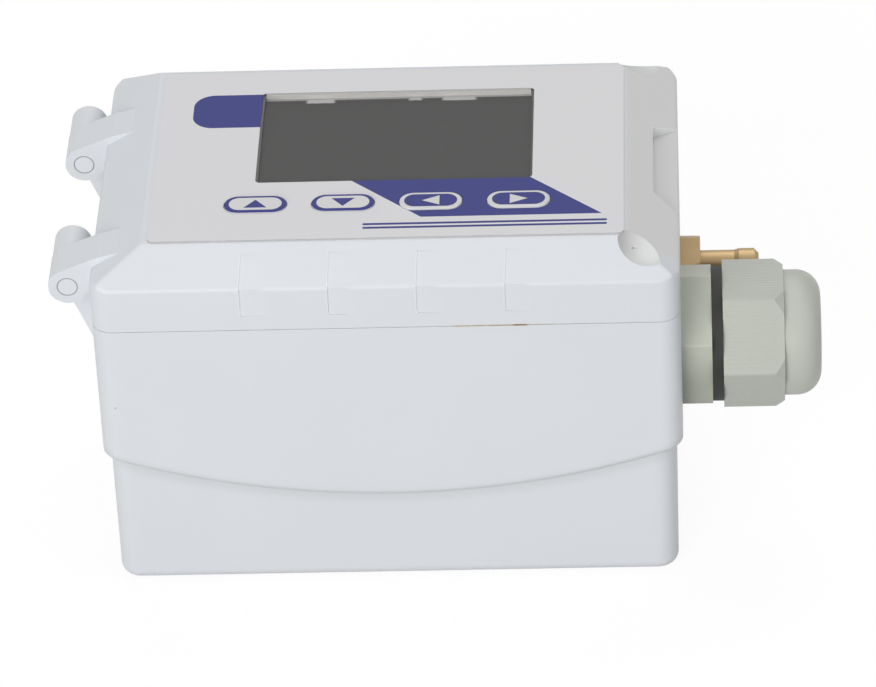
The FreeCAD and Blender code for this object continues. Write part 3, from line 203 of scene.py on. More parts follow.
# white for the rays that see the room: straight, mirrored and through clear film
def seenRays(tree, share):
    path = tree.nodes.new("ShaderNodeLightPath")
    total = path.outputs["Is Camera Ray"]
    for kind in ("Is Glossy Ray", "Is Transmission Ray"):
        most = tree.nodes.new("ShaderNodeMath")
        most.operation = "MAXIMUM"
        tree.links.new(total, most.inputs[0])
        tree.links.new(path.outputs[kind], most.inputs[1])
        total = most.outputs[0]
    part = tree.nodes.new("ShaderNodeMath")
    part.operation = "MULTIPLY"
    part.inputs[1].default_value = share
    tree.links.new(total, part.inputs[0])
    return part.outputs[0]


def makeStudio():
    for name, place, size, watts in studio["lamps"]:
        lamp = bpy.data.lights.new(name, "AREA")
        lamp.shape = "DISK"
        lamp.size = size
        lamp.energy = watts
        holder = bpy.data.objects.new(name, lamp)
        scene.collection.objects.link(holder)
        holder.location = place
        holder.rotation_euler = (Vector(studio["aim"]) - Vector(place)).to_track_quat("-Z", "Y").to_euler()
    world = bpy.data.worlds.new("paleRoom")
    scene.world = world
    world.use_nodes = True
    tree = world.node_tree
    room = tree.nodes["Background"]
    room.inputs["Color"].default_value = studio["white"]
    room.inputs["Strength"].default_value = studio["worldLevel"]
    seen = tree.nodes.new("ShaderNodeBackground")
    seen.inputs["Color"].default_value = studio["white"]
    seen.inputs["Strength"].default_value = 1.0
    blend = tree.nodes.new("ShaderNodeMixShader")
    tree.links.new(seenRays(tree, 1.0), blend.inputs[0])
    tree.links.new(room.outputs[0], blend.inputs[1])
    tree.links.new(seen.outputs[0], blend.inputs[2])
    tree.links.new(blend.outputs[0], tree.nodes["World Output"].inputs["Surface"])

    bm = bmesh.new()
    bmesh.ops.create_grid(bm, x_segments=1, y_segments=1, size=studio["floorHalf"])
    bmesh.ops.translate(bm, verts=bm.verts, vec=(0, 0, -studio["floorDrop"]))
    mesh = bpy.data.meshes.new("paleFloor")
    bm.to_mesh(mesh)
    bm.free()
    floor = bpy.data.objects.new("paleFloor", mesh)
    scene.collection.objects.link(floor)
    ground = Finish("paleFloor")
    ground.shade(Base_Color=studio["floorTint"], Roughness=0.9)
    tree = ground.tree
    glow = tree.nodes.new("ShaderNodeEmission")
    glow.inputs["Strength"].default_value = studio["floorWhite"]
    blend = tree.nodes.new("ShaderNodeMixShader")
    tree.links.new(seenRays(tree, studio["floorGlow"]), blend.inputs[0])
    tree.links.new(ground.shader.outputs[0], blend.inputs[1])
    tree.links.new(glow.outputs[0], blend.inputs[2])
    tree.links.new(blend.outputs[0], tree.nodes["Material Output"].inputs["Surface"])
    mesh.materials.append(ground.material)


makeCamera()
makeStudio()
print("camera, lamps and floor ready")


# finishes

caseTones = {
    "low": rgb(0.700, 0.725, 0.760), "high": rgb(0.735, 0.758, 0.790), "warm": rgb(0.717, 0.717, 0.717),
    "underBandPaintedShade": rgb(0.640, 0.655, 0.674), "gripEdgePaintedLight": rgb(0.93, 0.95, 0.97),
    "speck": rgb(0.30, 0.24, 0.18), "dust": rgb(0.58, 0.48, 0.34), "stain": rgb(0.36, 0.25, 0.14),
    "notchFloorPaintedShade": rgb(0.655, 0.655, 0.660), "notchEndPaintedHighlight": rgb(0.860, 0.865, 0.870),
    "dishShade": rgb(0.520, 0.520, 0.515), "dishLight": rgb(0.700, 0.704, 0.708),
    "wellSidePaintedShade": rgb(0.115, 0.105, 0.095), "wellRear": rgb(0.66, 0.64, 0.61),
}
frontWall = (-0.0326, -0.0331)  # y where the front wall begins and is reached
bandArc = {"middle": 0.1603, "radius": 0.1420, "above": 0.0018, "under": 0.0034, "edge": 0.0002,
           "wall": (0.0300, 0.0310), "level": 0.82}
speck = {"x": -0.0464, "z": 0.0375, "spread": (5.0e-8, 1.0e-8), "level": 0.6}  # spread in square metres
seamSoil = {"z": 0.05307, "spread": (0.00024, 0.00010), "dustLevel": 0.65,
            "dust": (0.0172, (0.0064, 0.0048), (0.34, 0.56)),  # middle x, spread, streaks
            "rust": (0.0227, (0.0016, 0.0007), (0.30, 0.50))}
glandSlope = {"x": (0.0402, 0.0412), "y": (-0.0285, -0.0265), "low": 0.0600}
notch = {"inner": 0.0452, "half": 0.0100, "flare": 0.753, "low": 0.0605, "inset": 0.0001,
         "lead": 0.0003, "endSpread": (0.00012, 0.00006)}
dishBall = {"x": 0.0442816, "y": 0.0300008, "z": 0.069467, "radius": 0.00658,
            "lightX": 0.0405, "lightY": 0.0272, "lightLean": 0.5, "lightRun": (-0.0020, 0.0032)}
gripMarks = {"lefts": [-0.02414, -0.00934, 0.00546, 0.02026], "wallY": -0.0332, "lean": 0.0652,
             "spread": (0.00009, 0.00004), "rearY": -0.0262, "low": 0.0558, "high": 0.0653}
windowWell = {"middleX": 0.0013, "middleY": 0.0048, "halfX": 0.0235, "halfY": 0.0141,
              "ledge": 0.00055, "over": 0.00012,
              "caseLevels": (0.0657, 0.0667), "labelLevels": (0.0664, 0.06682)}


def windowWellMasks(f, floor, roof):
    across, back = abs(f.x - windowWell["middleX"]), f.y - windowWell["middleY"]
    halfX, halfY = windowWell["halfX"], windowWell["halfY"]
    outer, inner = windowWell["over"], windowWell["ledge"]
    level = (f.z > floor) * (f.z < roof)
    within = (across < halfX + outer) * (abs(back) < halfY + outer) * level
    rear = within * (back > halfY - inner)
    sides = within * (across > halfX - inner).most(back < inner - halfY)
    return sides, rear


# painted shade: a soft darkening along the band's arc, darkest at its lower edge and fading above and below
# it, standing in for the shade under the band's rounded edge
def bandPaintedShade(f, tone):
    rise = f.z - bandArc["middle"]
    below = (f.x * f.x + rise * rise) ** 0.5 - bandArc["radius"]
    shade = f.soft(below, -bandArc["above"], 0.0) * f.soft(below, bandArc["under"], bandArc["edge"])
    shade = shade * f.soft(abs(f.y), *bandArc["wall"]) * bandArc["level"]
    return f.mix(shade, tone, caseTones["underBandPaintedShade"])


def soilMask(f, streak, x, spread, streaks):
    return f.soft(abs(f.x - x), *spread) * f.soft(streak, *streaks)


def soilTone(f, tone):
    front = f.soft(f.y, *frontWall)
    sideways, upwards = f.x - speck["x"], f.z - speck["z"]
    spot = f.soft(sideways * sideways + upwards * upwards, *speck["spread"])
    tone = f.mix(spot * front * speck["level"], tone, caseTones["speck"])
    streak = f.noise(scale=500.0, detail=3.0, roughness=0.65)
    edge = f.soft(abs(f.z - seamSoil["z"]), *seamSoil["spread"]) * front
    dusty = edge * soilMask(f, streak, *seamSoil["dust"]) * seamSoil["dustLevel"]
    rusty = edge * soilMask(f, streak, *seamSoil["rust"])
    tone = f.mix(dusty, tone, caseTones["dust"])
    return f.mix(rusty, tone, caseTones["stain"])


def slopeTone(f, tone):
    warm = f.soft(f.x, *glandSlope["x"]) * f.soft(f.y, *glandSlope["y"]) * (f.z > glandSlope["low"])
    return f.mix(warm, tone, caseTones["warm"])


# painted shade on the floor of the finger notch, and a painted highlight along its end
def notchShadeAndHighlight(f, tone):
    out = f.x - notch["inner"]
    upper = (out > -notch["lead"]) * (f.z > notch["low"])
    floor = (abs(f.y) < out * notch["flare"] + notch["half"] - notch["inset"]) * (out > 0.0) * upper
    end = f.y - notch["half"] - out * notch["flare"]
    tone = f.mix(floor, tone, caseTones["notchFloorPaintedShade"])
    return f.mix(f.soft(abs(end), *notch["endSpread"]) * upper, tone, caseTones["notchEndPaintedHighlight"])


def dishTone(f, tone):
    aside, along, above = f.x - dishBall["x"], abs(f.y) - dishBall["y"], f.z - dishBall["z"]
    dish = aside * aside + along * along + above * above < dishBall["radius"] ** 2
    lean = f.x - dishBall["lightX"] + (abs(f.y) - dishBall["lightY"]) * dishBall["lightLean"]
    hollow = f.mix(f.soft(lean, *dishBall["lightRun"]), caseTones["dishShade"], caseTones["dishLight"])
    return f.mix(dish, tone, hollow)


# painted light: the left step wall of each grip mark is painted near white, so the shade on it reads faint
def gripPaintedLight(f, tone):
    level = (f.y < gripMarks["rearY"]) * (f.z > gripMarks["low"]) * (f.z < gripMarks["high"])
    for left in gripMarks["lefts"]:
        # the left wall of a mark leans with its wedge
        step = abs(f.x - left - (f.y - gripMarks["wallY"]) * gripMarks["lean"])
        tone = f.mix(f.soft(step, *gripMarks["spread"]) * level, tone, caseTones["gripEdgePaintedLight"])
    return tone


def casePlastic():
    f = Finish("casePlastic")
    cloud = f.noise(scale=28.0, detail=3.0)
    grain = f.noise(scale=2600.0, roughness=0.6)
    tone = f.mix(cloud, caseTones["low"], caseTones["high"])
    for mark in (bandPaintedShade, soilTone, slopeTone, notchShadeAndHighlight, dishTone, gripPaintedLight):
        tone = mark(f, tone)
    sides, rear = windowWellMasks(f, *windowWell["caseLevels"])
    tone = f.mix(rear, tone, caseTones["wellRear"])
    # painted shade: the side and front walls of the window opening are painted dark
    tone = f.mix(sides, tone, caseTones["wellSidePaintedShade"])
    return f.shade(Base_Color=tone, Roughness=0.36 + cloud * 0.14, IOR=1.48,
                   Normal=f.bump(grain, strength=0.10, distance=0.00003))


seamTones = {"lipPaintedShade": rgb(0.55, 0.55, 0.56), "dust": rgb(0.42, 0.31, 0.18), "rust": rgb(0.24, 0.14, 0.06)}
lipSoil = {"dust": (0.0198, (0.0095, 0.0075), (0.30, 0.50)),  # middle x, spread, streaks
           "rust": (0.0227, (0.0016, 0.0008), (0.35, 0.55))}


# the lip's grey is painted shade for the seam gap; the dust and rust streaks on it are real soil
def seamPlastic():
    f = Finish("seamPlastic")
    streak = f.noise(scale=420.0, detail=3.0, roughness=0.65)
    front = f.soft(f.y, *frontWall)
    tone = f.mix(front * soilMask(f, streak, *lipSoil["dust"]), seamTones["lipPaintedShade"], seamTones["dust"])
    tone = f.mix(front * soilMask(f, streak, *lipSoil["rust"]), tone, seamTones["rust"])
    return f.shade(Base_Color=tone, Roughness=0.5 + streak * 0.2)


def pinPlastic():
    f = Finish("pinPlastic")
    cloud = f.noise(scale=300.0)
    tone = f.mix(cloud, rgb(0.71, 0.73, 0.76), rgb(0.76, 0.78, 0.80))
    return f.shade(Base_Color=tone, Roughness=0.35 + cloud * 0.15)


labelPrint = {
    "paperLeft": rgb(0.752, 0.752, 0.772), "paperRight": rgb(0.748, 0.747, 0.760),
    "ink": rgb(0.034, 0.041, 0.212), "edge": rgb(0.50, 0.50, 0.505),
    "paperRun": (-0.030, 0.040), "paperWander": 0.02, "edgeBelow": 0.06682,
    "keyField": (0.0153, -0.0149, 0.0152, 0.0058, -1.055),  # middle x, y, half x, y, slant
    "sideTab": (-0.0262, 0.0133, 0.0078, 0.0052, 0.0036),  # middle x, y, half x, y, corner
    "pinLines": [(0.0170, -0.0226, 0.0205, 0.00030, 0.0003), (0.0170, -0.0237, 0.0205, 0.00030, 0.0003)],
}


def labelFilm():
    f = Finish("labelFilm")
    cloud = f.noise(scale=35.0)
    across = f.soft(f.x + cloud * labelPrint["paperWander"], *labelPrint["paperRun"])
    tone = f.mix(across, labelPrint["paperLeft"], labelPrint["paperRight"])
    ink = f.slantBox(*labelPrint["keyField"]).most(f.roundBox(*labelPrint["sideTab"]))
    for line in labelPrint["pinLines"]:
        ink = ink.most(f.roundBox(*line))
    tone = f.mix(ink, tone, labelPrint["ink"])
    # painted shade: the label's cut edges, below its top face, are painted grey
    tone = f.mix(f.z < labelPrint["edgeBelow"], tone, labelPrint["edge"])
    sides = windowWellMasks(f, *windowWell["labelLevels"])[0]
    # painted shade: the label's cut edges at the sides and front of the window are painted dark
    tone = f.mix(sides, tone, caseTones["wellSidePaintedShade"])
    matte = f.noise(scale=3000.0, detail=1.0)
    return f.shade(Base_Color=tone, Roughness=0.46 + matte * 0.08, Specular_IOR_Level=0.22,
                   Normal=f.bump(matte, strength=0.05, distance=0.00002))


def inkFinish(name, colour):
    f = Finish(name)
    cloud = f.noise(scale=500.0)
    tone = f.mix(cloud, colour, toned(colour, 0.94))
    return f.shade(Base_Color=tone, Roughness=0.46 + cloud * 0.08, Specular_IOR_Level=0.22)


keyTones = {"pale": rgb(0.690, 0.692, 0.702), "paleLight": rgb(0.725, 0.727, 0.735),
            "rimBlue": labelPrint["ink"], "rimPale": rgb(0.70, 0.70, 0.705),
            "rimWide": 0.0003, "rimDeep": 0.00017}


def keyFilm(name):
    f = Finish("keyFilm." + name)
    under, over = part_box("key_" + name)
    middle, half = (under + over) / 2, (over - under) / 2
    endwise = (abs(f.x - middle.x) - (half.x - half.y)).most(0.0)
    crosswise = f.y - middle.y
    outside = endwise * endwise + crosswise * crosswise > (half.y - keyTones["rimWide"]) ** 2
    rim = outside * (f.z > over.z - keyTones["rimDeep"])
    cloud = f.noise(scale=120.0)
    tone = f.mix(cloud, keyTones["pale"], keyTones["paleLight"])
    tone = f.mix(rim, tone, keyTones["rimBlue" if name in ("up", "down") else "rimPale"])
    return f.shade(Base_Color=tone, Roughness=0.42 + cloud * 0.1, Specular_IOR_Level=0.25)


def windowClear():
    f = Finish("windowClear")
    haze = f.noise(scale=200.0)
    tone = f.mix(haze, rgb(0.55, 0.55, 0.54), rgb(0.62, 0.62, 0.61))
    return f.shade(Base_Color=tone, Roughness=0.2, Specular_IOR_Level=0.2, Alpha=0.04)


displayPrint = {
    "dark": rgb(0.037, 0.0355, 0.035), "darkLight": rgb(0.045, 0.0435, 0.043), "pale": rgb(0.52, 0.52, 0.51),
    "rearBand": (0.0178, 0.0184), "markRear": 0.0180, "soft": 0.0004,
    "marks": [  # x, half width, reach
        (-0.0122, 0.0024, 0.0009), (0.0042, 0.0011, 0.0006), (0.0118, 0.0029, 0.0008),
    ],
}


def displayDark():
    f = Finish("displayDark")
    fine = f.noise(scale=2400.0)
    tone = f.mix(fine, displayPrint["dark"], displayPrint["darkLight"])
    ragged = f.noise(scale=900.0, detail=3.0)
    soft = displayPrint["soft"]
    pale = f.soft(f.y, *displayPrint["rearBand"])
    for x, half, reach in displayPrint["marks"]:
        near = f.soft(abs(f.x - x), half + soft, half - soft)
        start = displayPrint["markRear"] - reach
        pale = pale.most(near * f.soft(f.y + ragged * soft, start, start + soft))
    tone = f.mix(pale, tone, displayPrint["pale"])
    return f.shade(Base_Color=tone, Roughness=0.30 + fine * 0.06, Specular_IOR_Level=0.12)


def plainPlastic(name, low, high, rough, grainScale=1800.0, bump=0.08):
    f = Finish(name)
    cloud = f.noise(scale=90.0, detail=3.0)
    grain = f.noise(scale=grainScale)
    return f.shade(Base_Color=f.mix(cloud, low, high), Roughness=rough + cloud * 0.15,
                   Normal=f.bump(grain, strength=bump, distance=0.00003))


glandTones = {"dome": (0.0664, 0.0672), "domePaintedLight": 1.07, "paintedLightRun": (0.0345, 0.0440)}


# painted light: with a share given, the tone runs darker towards the bottom and lighter towards the top;
# without one, the dome end is painted lighter
def glandPlastic(name, low, high, rough, paintedLightShare=0.0):
    f = Finish(name)
    cloud = f.noise(scale=90.0, detail=3.0)
    grain = f.noise(scale=1500.0)
    if paintedLightShare:
        tone = f.mix(f.soft(f.z, *glandTones["paintedLightRun"]), toned(low, 1.0 - paintedLightShare), toned(high, 1.0 + paintedLightShare))
    else:
        lift = glandTones["domePaintedLight"]
        dome = f.mix(cloud, toned(low, lift), toned(high, lift))
        tone = f.mix(f.soft(f.x, *glandTones["dome"]), f.mix(cloud, low, high), dome)
    return f.shade(Base_Color=tone, Roughness=rough + cloud * 0.15,
                   Normal=f.bump(grain, strength=0.05, distance=0.00003))


def turnedBrass():
    f = Finish("turnedBrass")
    rings = f.node("ShaderNodeTexWave", {"bands_direction": "X", "wave_type": "BANDS"}, {
        "Vector": f.at, "Scale": 900.0, "Distortion": 2.0, "Detail": 2.0})
    cloud = f.noise(scale=260.0, detail=3.0)
    tone = f.mix(cloud, rgb(0.31, 0.215, 0.110), rgb(0.44, 0.325, 0.185))
    return f.shade(Base_Color=tone, Metallic=1.0, Roughness=0.36 + cloud * 0.22,
                   Normal=f.bump(rings, strength=0.06, distance=0.00003))


def platedSteel():
    f = Finish("platedSteel")
    cloud = f.noise(scale=700.0, detail=3.0)
    tone = f.mix(cloud, rgb(0.52, 0.52, 0.53), rgb(0.68, 0.68, 0.67))
    return f.shade(Base_Color=tone, Metallic=1.0, Roughness=0.25 + cloud * 0.25)


boardPrint = {"mask": rgb(0.012, 0.105, 0.045), "track": rgb(0.03, 0.20, 0.085), "pad": rgb(0.62, 0.60, 0.52),
              "trackRun": (0.80, 0.86), "clearRun": (0.2, 0.3), "padRun": (0.10, 0.07)}


def boardMask():
    f = Finish("boardMask")
    # wavy tracks a little lighter than the mask, clear of the pads
    cells = f.node("ShaderNodeTexVoronoi", {"distance": "MANHATTAN", "feature": "F1"}, {
        "Vector": f.at, "Scale": 210.0, "Randomness": 0.35})
    tracks = f.node("ShaderNodeTexWave", {"bands_direction": "Y"}, {
        "Vector": f.at, "Scale": 95.0, "Distortion": 3.0, "Detail": 1.0})
    lines = f.soft(tracks, *boardPrint["trackRun"]) * f.soft(cells, *boardPrint["clearRun"])
    tone = f.mix(lines, boardPrint["mask"], boardPrint["track"])
    pads = f.soft(cells, *boardPrint["padRun"])
    tone = f.mix(pads, tone, boardPrint["pad"])
    return f.shade(Base_Color=tone, Metallic=pads * 0.8, Roughness=0.30 + pads * 0.1,
                   Normal=f.bump(lines, strength=0.3, distance=0.00004))


chipBodyHalf = 0.00503


def chipFinish():
    f = Finish("chipBlack")
    under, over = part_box("controller_chip")
    middle = (under + over) / 2
    legs = abs(f.x - middle.x).most(abs(f.y - middle.y)) > chipBodyHalf
    grain = f.noise(scale=1800.0)
    tone = f.mix(grain, rgb(0.014, 0.014, 0.015), rgb(0.028, 0.028, 0.030))
    tone = f.mix(legs, tone, rgb(0.62, 0.62, 0.60))
    return f.shade(Base_Color=tone, Metallic=legs, Roughness=0.50 - legs * 0.18)


capacitorPrint = {"topDeep": 0.0006, "topRadius": 0.0033, "stripeFront": 0.0031, "stripeHalf": 0.0016}


def capacitorSleeve():
    f = Finish("capacitorSleeve")
    under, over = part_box("filter_capacitor")
    middle = (under + over) / 2
    cloud = f.noise(scale=300.0)
    across, back = f.x - middle.x, f.y - middle.y
    inside = across * across + back * back < capacitorPrint["topRadius"] ** 2
    top = (f.z > over.z - capacitorPrint["topDeep"]) * inside
    stripe = (back < -capacitorPrint["stripeFront"]) * (abs(across) < capacitorPrint["stripeHalf"])
    tone = f.mix(cloud, rgb(0.020, 0.025, 0.070), rgb(0.032, 0.038, 0.095))
    tone = f.mix(stripe, tone, rgb(0.50, 0.52, 0.56))
    tone = f.mix(top, tone, rgb(0.66, 0.66, 0.67))
    return f.shade(Base_Color=tone, Metallic=top, Roughness=0.26 + cloud * 0.12)


def milkyHose():
    f = Finish("milkyHose")
    cloud = f.noise(scale=120.0)
    tone = f.mix(cloud, rgb(0.62, 0.65, 0.63), rgb(0.74, 0.76, 0.73))
    return f.shade(Base_Color=tone, Roughness=0.3 + cloud * 0.1,
                   Subsurface_Weight=0.15, Subsurface_Scale=0.002)


ribbonStripe = (0.00402, 0.00408)  # y where the marked core begins


def ribbonGrey():
    f = Finish("ribbonGrey")
    cloud = f.noise(scale=150.0)
    tone = f.mix(cloud, rgb(0.40, 0.41, 0.43), rgb(0.48, 0.49, 0.51))
    tone = f.mix(f.soft(f.y, *ribbonStripe), tone, rgb(0.45, 0.05, 0.05))
    return f.shade(Base_Color=tone, Roughness=0.42 + cloud * 0.1)


case = casePlastic()
blackRubber = plainPlastic("blackRubber", rgb(0.010, 0.010, 0.010), rgb(0.026, 0.025, 0.024), rough=0.62,
                           grainScale=2200.0, bump=0.2)
glandGrey = glandPlastic("glandGrey", rgb(0.450, 0.474, 0.420), rgb(0.500, 0.520, 0.466), rough=0.40)
# the body and locknut take a darker copy of the cap's grey, painted shade
glandPaintedShade = glandPlastic("glandPaintedShade", rgb(0.412, 0.432, 0.366), rgb(0.452, 0.472, 0.402), rough=0.44,
                          paintedLightShare=0.12)
partBlack = plainPlastic("partBlack", rgb(0.016, 0.016, 0.017), rgb(0.030, 0.030, 0.032), rough=0.42)
inkBlue = inkFinish("inkBlue", labelPrint["ink"])
inkWhite = inkFinish("inkWhite", rgb(0.72, 0.715, 0.71))
brass = turnedBrass()
steel = platedSteel()
board = boardMask()
finishes = {
    "base_housing": case, "lid_cover": case, "hinge_pins": pinPlastic(),
    "lid_gasket": blackRubber, "gland_ring": blackRubber, "gland_seal": blackRubber,
    "face_label": labelFilm(), "window_film": windowClear(), "display_glass": displayDark(),
    "key_up": keyFilm("up"), "key_down": keyFilm("down"),
    "key_left": keyFilm("left"), "key_right": keyFilm("right"),
    "main_board": board, "display_board": board,
    "main_board_screws": steel, "display_board_screws": steel, "terminal_screws": steel,
    "terminal_block": plainPlastic("terminalGreen", rgb(0.02, 0.19, 0.08), rgb(0.03, 0.25, 0.11), rough=0.38),
    "board_header": partBlack, "display_header": partBlack, "controller_chip": chipFinish(),
    "switch_housings": partBlack, "switch_stem_up": partBlack, "switch_stem_down": partBlack,
    "switch_stem_left": partBlack, "switch_stem_right": partBlack,
    "filter_capacitor": capacitorSleeve(),
    "sensor_module": plainPlastic("sensorGrey", rgb(0.24, 0.25, 0.27), rgb(0.30, 0.31, 0.33), rough=0.4),
    "sensor_hose": milkyHose(), "hose_barb": brass, "barb_nut": brass,
    "barb_washer": plainPlastic("fibreRed", rgb(0.30, 0.05, 0.03), rgb(0.40, 0.08, 0.05), rough=0.7,
                                grainScale=900.0, bump=0.3),
    "gland_body": glandPaintedShade, "gland_locknut": glandPaintedShade, "gland_cap": glandGrey,
    "backlight": plainPlastic("frameWhite", rgb(0.60, 0.60, 0.58), rgb(0.66, 0.66, 0.64), rough=0.45),
    "ribbon_cable": ribbonGrey(),
}
for name, material in finishes.items():
    mesh = nodes[name].data
    mesh.materials.clear()
    mesh.materials.append(material)
print("finishes on", len(finishes), "nodes")


# new pieces

def piece(name, bm, material, body, smoothAngle=None):
    bmesh.ops.recalc_face_normals(bm, faces=bm.faces)
    mesh = bpy.data.meshes.new(name)
    bm.to_mesh(mesh)
    bm.free()
    mesh.materials.append(material)
    made = bpy.data.objects.new(name, mesh)
    scene.collection.objects.link(made)
    if smoothAngle is not None:
        for face in mesh.polygons:
            face.use_smooth = True
        mesh.set_sharp_from_angle(angle=math.radians(smoothAngle))
    if body:
        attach(made, body)
    return made


def raiseFaces(bm, faces, height):
    lifted = bmesh.ops.extrude_face_region(bm, geom=faces)["geom"]
    verts = [v for v in lifted if isinstance(v, bmesh.types.BMVert)]
    bmesh.ops.translate(bm, verts=verts, vec=(0, 0, height))


keyInk = {"length": 0.01016, "width": 0.00446, "line": 0.00038, "endGrow": 0.00022, "lift": 0.00002,
          "fieldLift": 0.000012, "sink": 0.000005, "steps": 40,
          "arrows": {"up": (90, 0.0039, 0.00235), "down": (-90, 0.0039, 0.00235),
                     "left": (180, 0.0028, 0.00295), "right": (0, 0.0028, 0.00295)}}  # turn, base, height


def stadiumFace(bm, x, y, z, length, width):
    steps = keyInk["steps"]
    bmesh.ops.create_circle(bm, cap_ends=True, segments=steps, radius=width / 2,
                            matrix=Matrix.Rotation(math.pi / steps, 4, "Z"))
    for v in bm.verts:
        v.co.x += math.copysign((length - width) / 2, v.co.x)
    bmesh.ops.translate(bm, verts=bm.verts, vec=(x, y, z))
    bm.faces.ensure_lookup_table()
    return bm.faces[0]


def makeKeyInk():
    for name, (turn, base, height) in keyInk["arrows"].items():
        dark = name in ("left", "right")
        body = "key_%s_body" % name
        under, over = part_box("key_" + name)
        x, y = (under.x + over.x) / 2, (under.y + over.y) / 2
        z = over.z - keyInk["sink"]
        bm = bmesh.new()
        inner = stadiumFace(bm, x, y, z, keyInk["length"], keyInk["width"])
        ring = bmesh.ops.inset_region(bm, faces=[inner], thickness=keyInk["line"], use_even_offset=True,
                                      use_boundary=True)["faces"]
        for v in inner.verts:  # the ring is wider at its ends
            v.co.x += keyInk["endGrow"] if v.co.x < x else -keyInk["endGrow"]
        bmesh.ops.delete(bm, geom=[inner], context="FACES_ONLY")
        raiseFaces(bm, ring, keyInk["lift"])
        piece("keyRing." + name, bm, inkWhite if dark else inkBlue, body)
        if dark:
            bm = bmesh.new()
            field = stadiumFace(bm, x, y, z, keyInk["length"] - 2 * (keyInk["line"] + keyInk["endGrow"]),
                                keyInk["width"] - 2 * keyInk["line"])
            raiseFaces(bm, [field], keyInk["fieldLift"])
            piece("keyField." + name, bm, inkBlue, body)
        bm = bmesh.new()
        bmesh.ops.create_circle(bm, cap_ends=True, segments=3, radius=1.0)
        bmesh.ops.rotate(bm, verts=bm.verts, matrix=Matrix.Rotation(-math.pi / 2, 3, "Z"))
        foot, tip = (end(v.co.x for v in bm.verts) for end in (min, max))
        bmesh.ops.translate(bm, verts=bm.verts, vec=(-(foot + tip) / 2, 0, 0))
        # a triangle in a unit circle has sides of sqrt 3
        bmesh.ops.scale(bm, verts=bm.verts, vec=(height / (tip - foot), base / math.sqrt(3), 1))
        bmesh.ops.rotate(bm, verts=bm.verts, matrix=Matrix.Rotation(math.radians(turn), 3, "Z"))
        bmesh.ops.translate(bm, verts=bm.verts, vec=(x, y, z))
        raiseFaces(bm, bm.faces[:], keyInk["lift"])
        piece("keyArrow." + name, bm, inkWhite if dark else inkBlue, body)


makeKeyInk()
print("key marks printed")


seamLip = {"halfX": 0.04945, "halfY": 0.0332, "corner": 0.0036, "gapLow": 0.05303, "gapHigh": 0.05312,
           "setBack": 0.00006, "deep": 0.0005, "steps": 64}


# a thin ring in the seam gap, its grey painted shade for the gap
def makeSeamLip():
    halfY = seamLip["halfY"] - seamLip["setBack"]
    halfX = seamLip["halfX"] - seamLip["setBack"]
    corner = seamLip["corner"] - seamLip["setBack"]
    bm = bmesh.new()
    bmesh.ops.create_circle(bm, cap_ends=True, segments=seamLip["steps"], radius=corner,
                            matrix=Matrix.Rotation(math.pi / seamLip["steps"], 4, "Z"))
    for v in bm.verts:
        v.co.x += math.copysign(halfX - corner, v.co.x)
        v.co.y += math.copysign(halfY - corner, v.co.y)
    bmesh.ops.translate(bm, verts=bm.verts, vec=(0, 0, seamLip["gapLow"]))
    middle = bm.faces[:][0]
    ring = bmesh.ops.inset_region(bm, faces=[middle], thickness=seamLip["deep"], use_even_offset=True,
                                  use_boundary=True)["faces"]
    bmesh.ops.delete(bm, geom=[middle], context="FACES_ONLY")
    raiseFaces(bm, ring, seamLip["gapHigh"] - seamLip["gapLow"])
    piece("seamLip", bm, seamPlastic(), "lid", smoothAngle=40)


makeSeamLip()

pinGapRings = {"axisX": -0.0536, "axisZ": 0.0575, "faces": {"front": -0.02575, "rear": 0.01175},
              "setBack": 0.00006, "deep": 0.0008, "inner": 0.00161, "outer": 0.00179, "steps": 48}


# painted shade: grey rings set into the gaps round the hinge pin ends, standing in for the shade in those
# gaps
def makePinGapRings():
    gapShadeFinish = plainPlastic("pinGapPaintedShade", rgb(0.31, 0.32, 0.33), rgb(0.38, 0.39, 0.40), rough=0.5)
    thick = pinGapRings["outer"] - pinGapRings["inner"]
    for name, face in pinGapRings["faces"].items():
        bm = bmesh.new()
        bmesh.ops.create_grid(bm, x_segments=1, y_segments=1, size=0.5)
        bmesh.ops.delete(bm, geom=bm.faces[:], context="FACES_ONLY")
        bmesh.ops.scale(bm, verts=bm.verts, vec=(thick, pinGapRings["deep"], 1))
        bmesh.ops.translate(bm, verts=bm.verts, vec=(
            pinGapRings["axisX"] + pinGapRings["inner"] + thick / 2,
            face + pinGapRings["setBack"] + pinGapRings["deep"] / 2, pinGapRings["axisZ"]))
        bmesh.ops.spin(bm, geom=bm.verts[:] + bm.edges[:], cent=(pinGapRings["axisX"], 0, pinGapRings["axisZ"]),
                       axis=(0, 1, 0), angle=math.tau, steps=pinGapRings["steps"], use_merge=True)
        piece("pinGapShadeRing." + name, bm, gapShadeFinish, "lid", smoothAngle=40)


makePinGapRings()

dishGates = {"x": 0.04205, "y": 0.02723, "radius": 0.00038, "low": 0.06342, "high": 0.06384,
             "round": 0.00012, "steps": 24}


def makeDishGates():
    for name, sign in (("front", -1), ("rear", 1)):
        bm = bmesh.new()
        bmesh.ops.create_cone(bm, cap_ends=True, segments=dishGates["steps"], radius1=dishGates["radius"],
                              radius2=dishGates["radius"], depth=dishGates["high"] - dishGates["low"])
        rim = [e for e in bm.edges if all(v.co.z > 0 for v in e.verts)]
        bmesh.ops.bevel(bm, geom=rim, offset=dishGates["round"], affect="EDGES", segments=3, profile=0.5,
                        material=-1)
        bmesh.ops.translate(bm, verts=bm.verts, vec=(dishGates["x"], sign * dishGates["y"],
                                                     (dishGates["high"] + dishGates["low"]) / 2))
        piece("dishGate." + name, bm, case, "lid", smoothAngle=40)


makeDishGates()
# the pin collars are grey rings of painted shade
print("seam lip, pin collars and dish gates in")


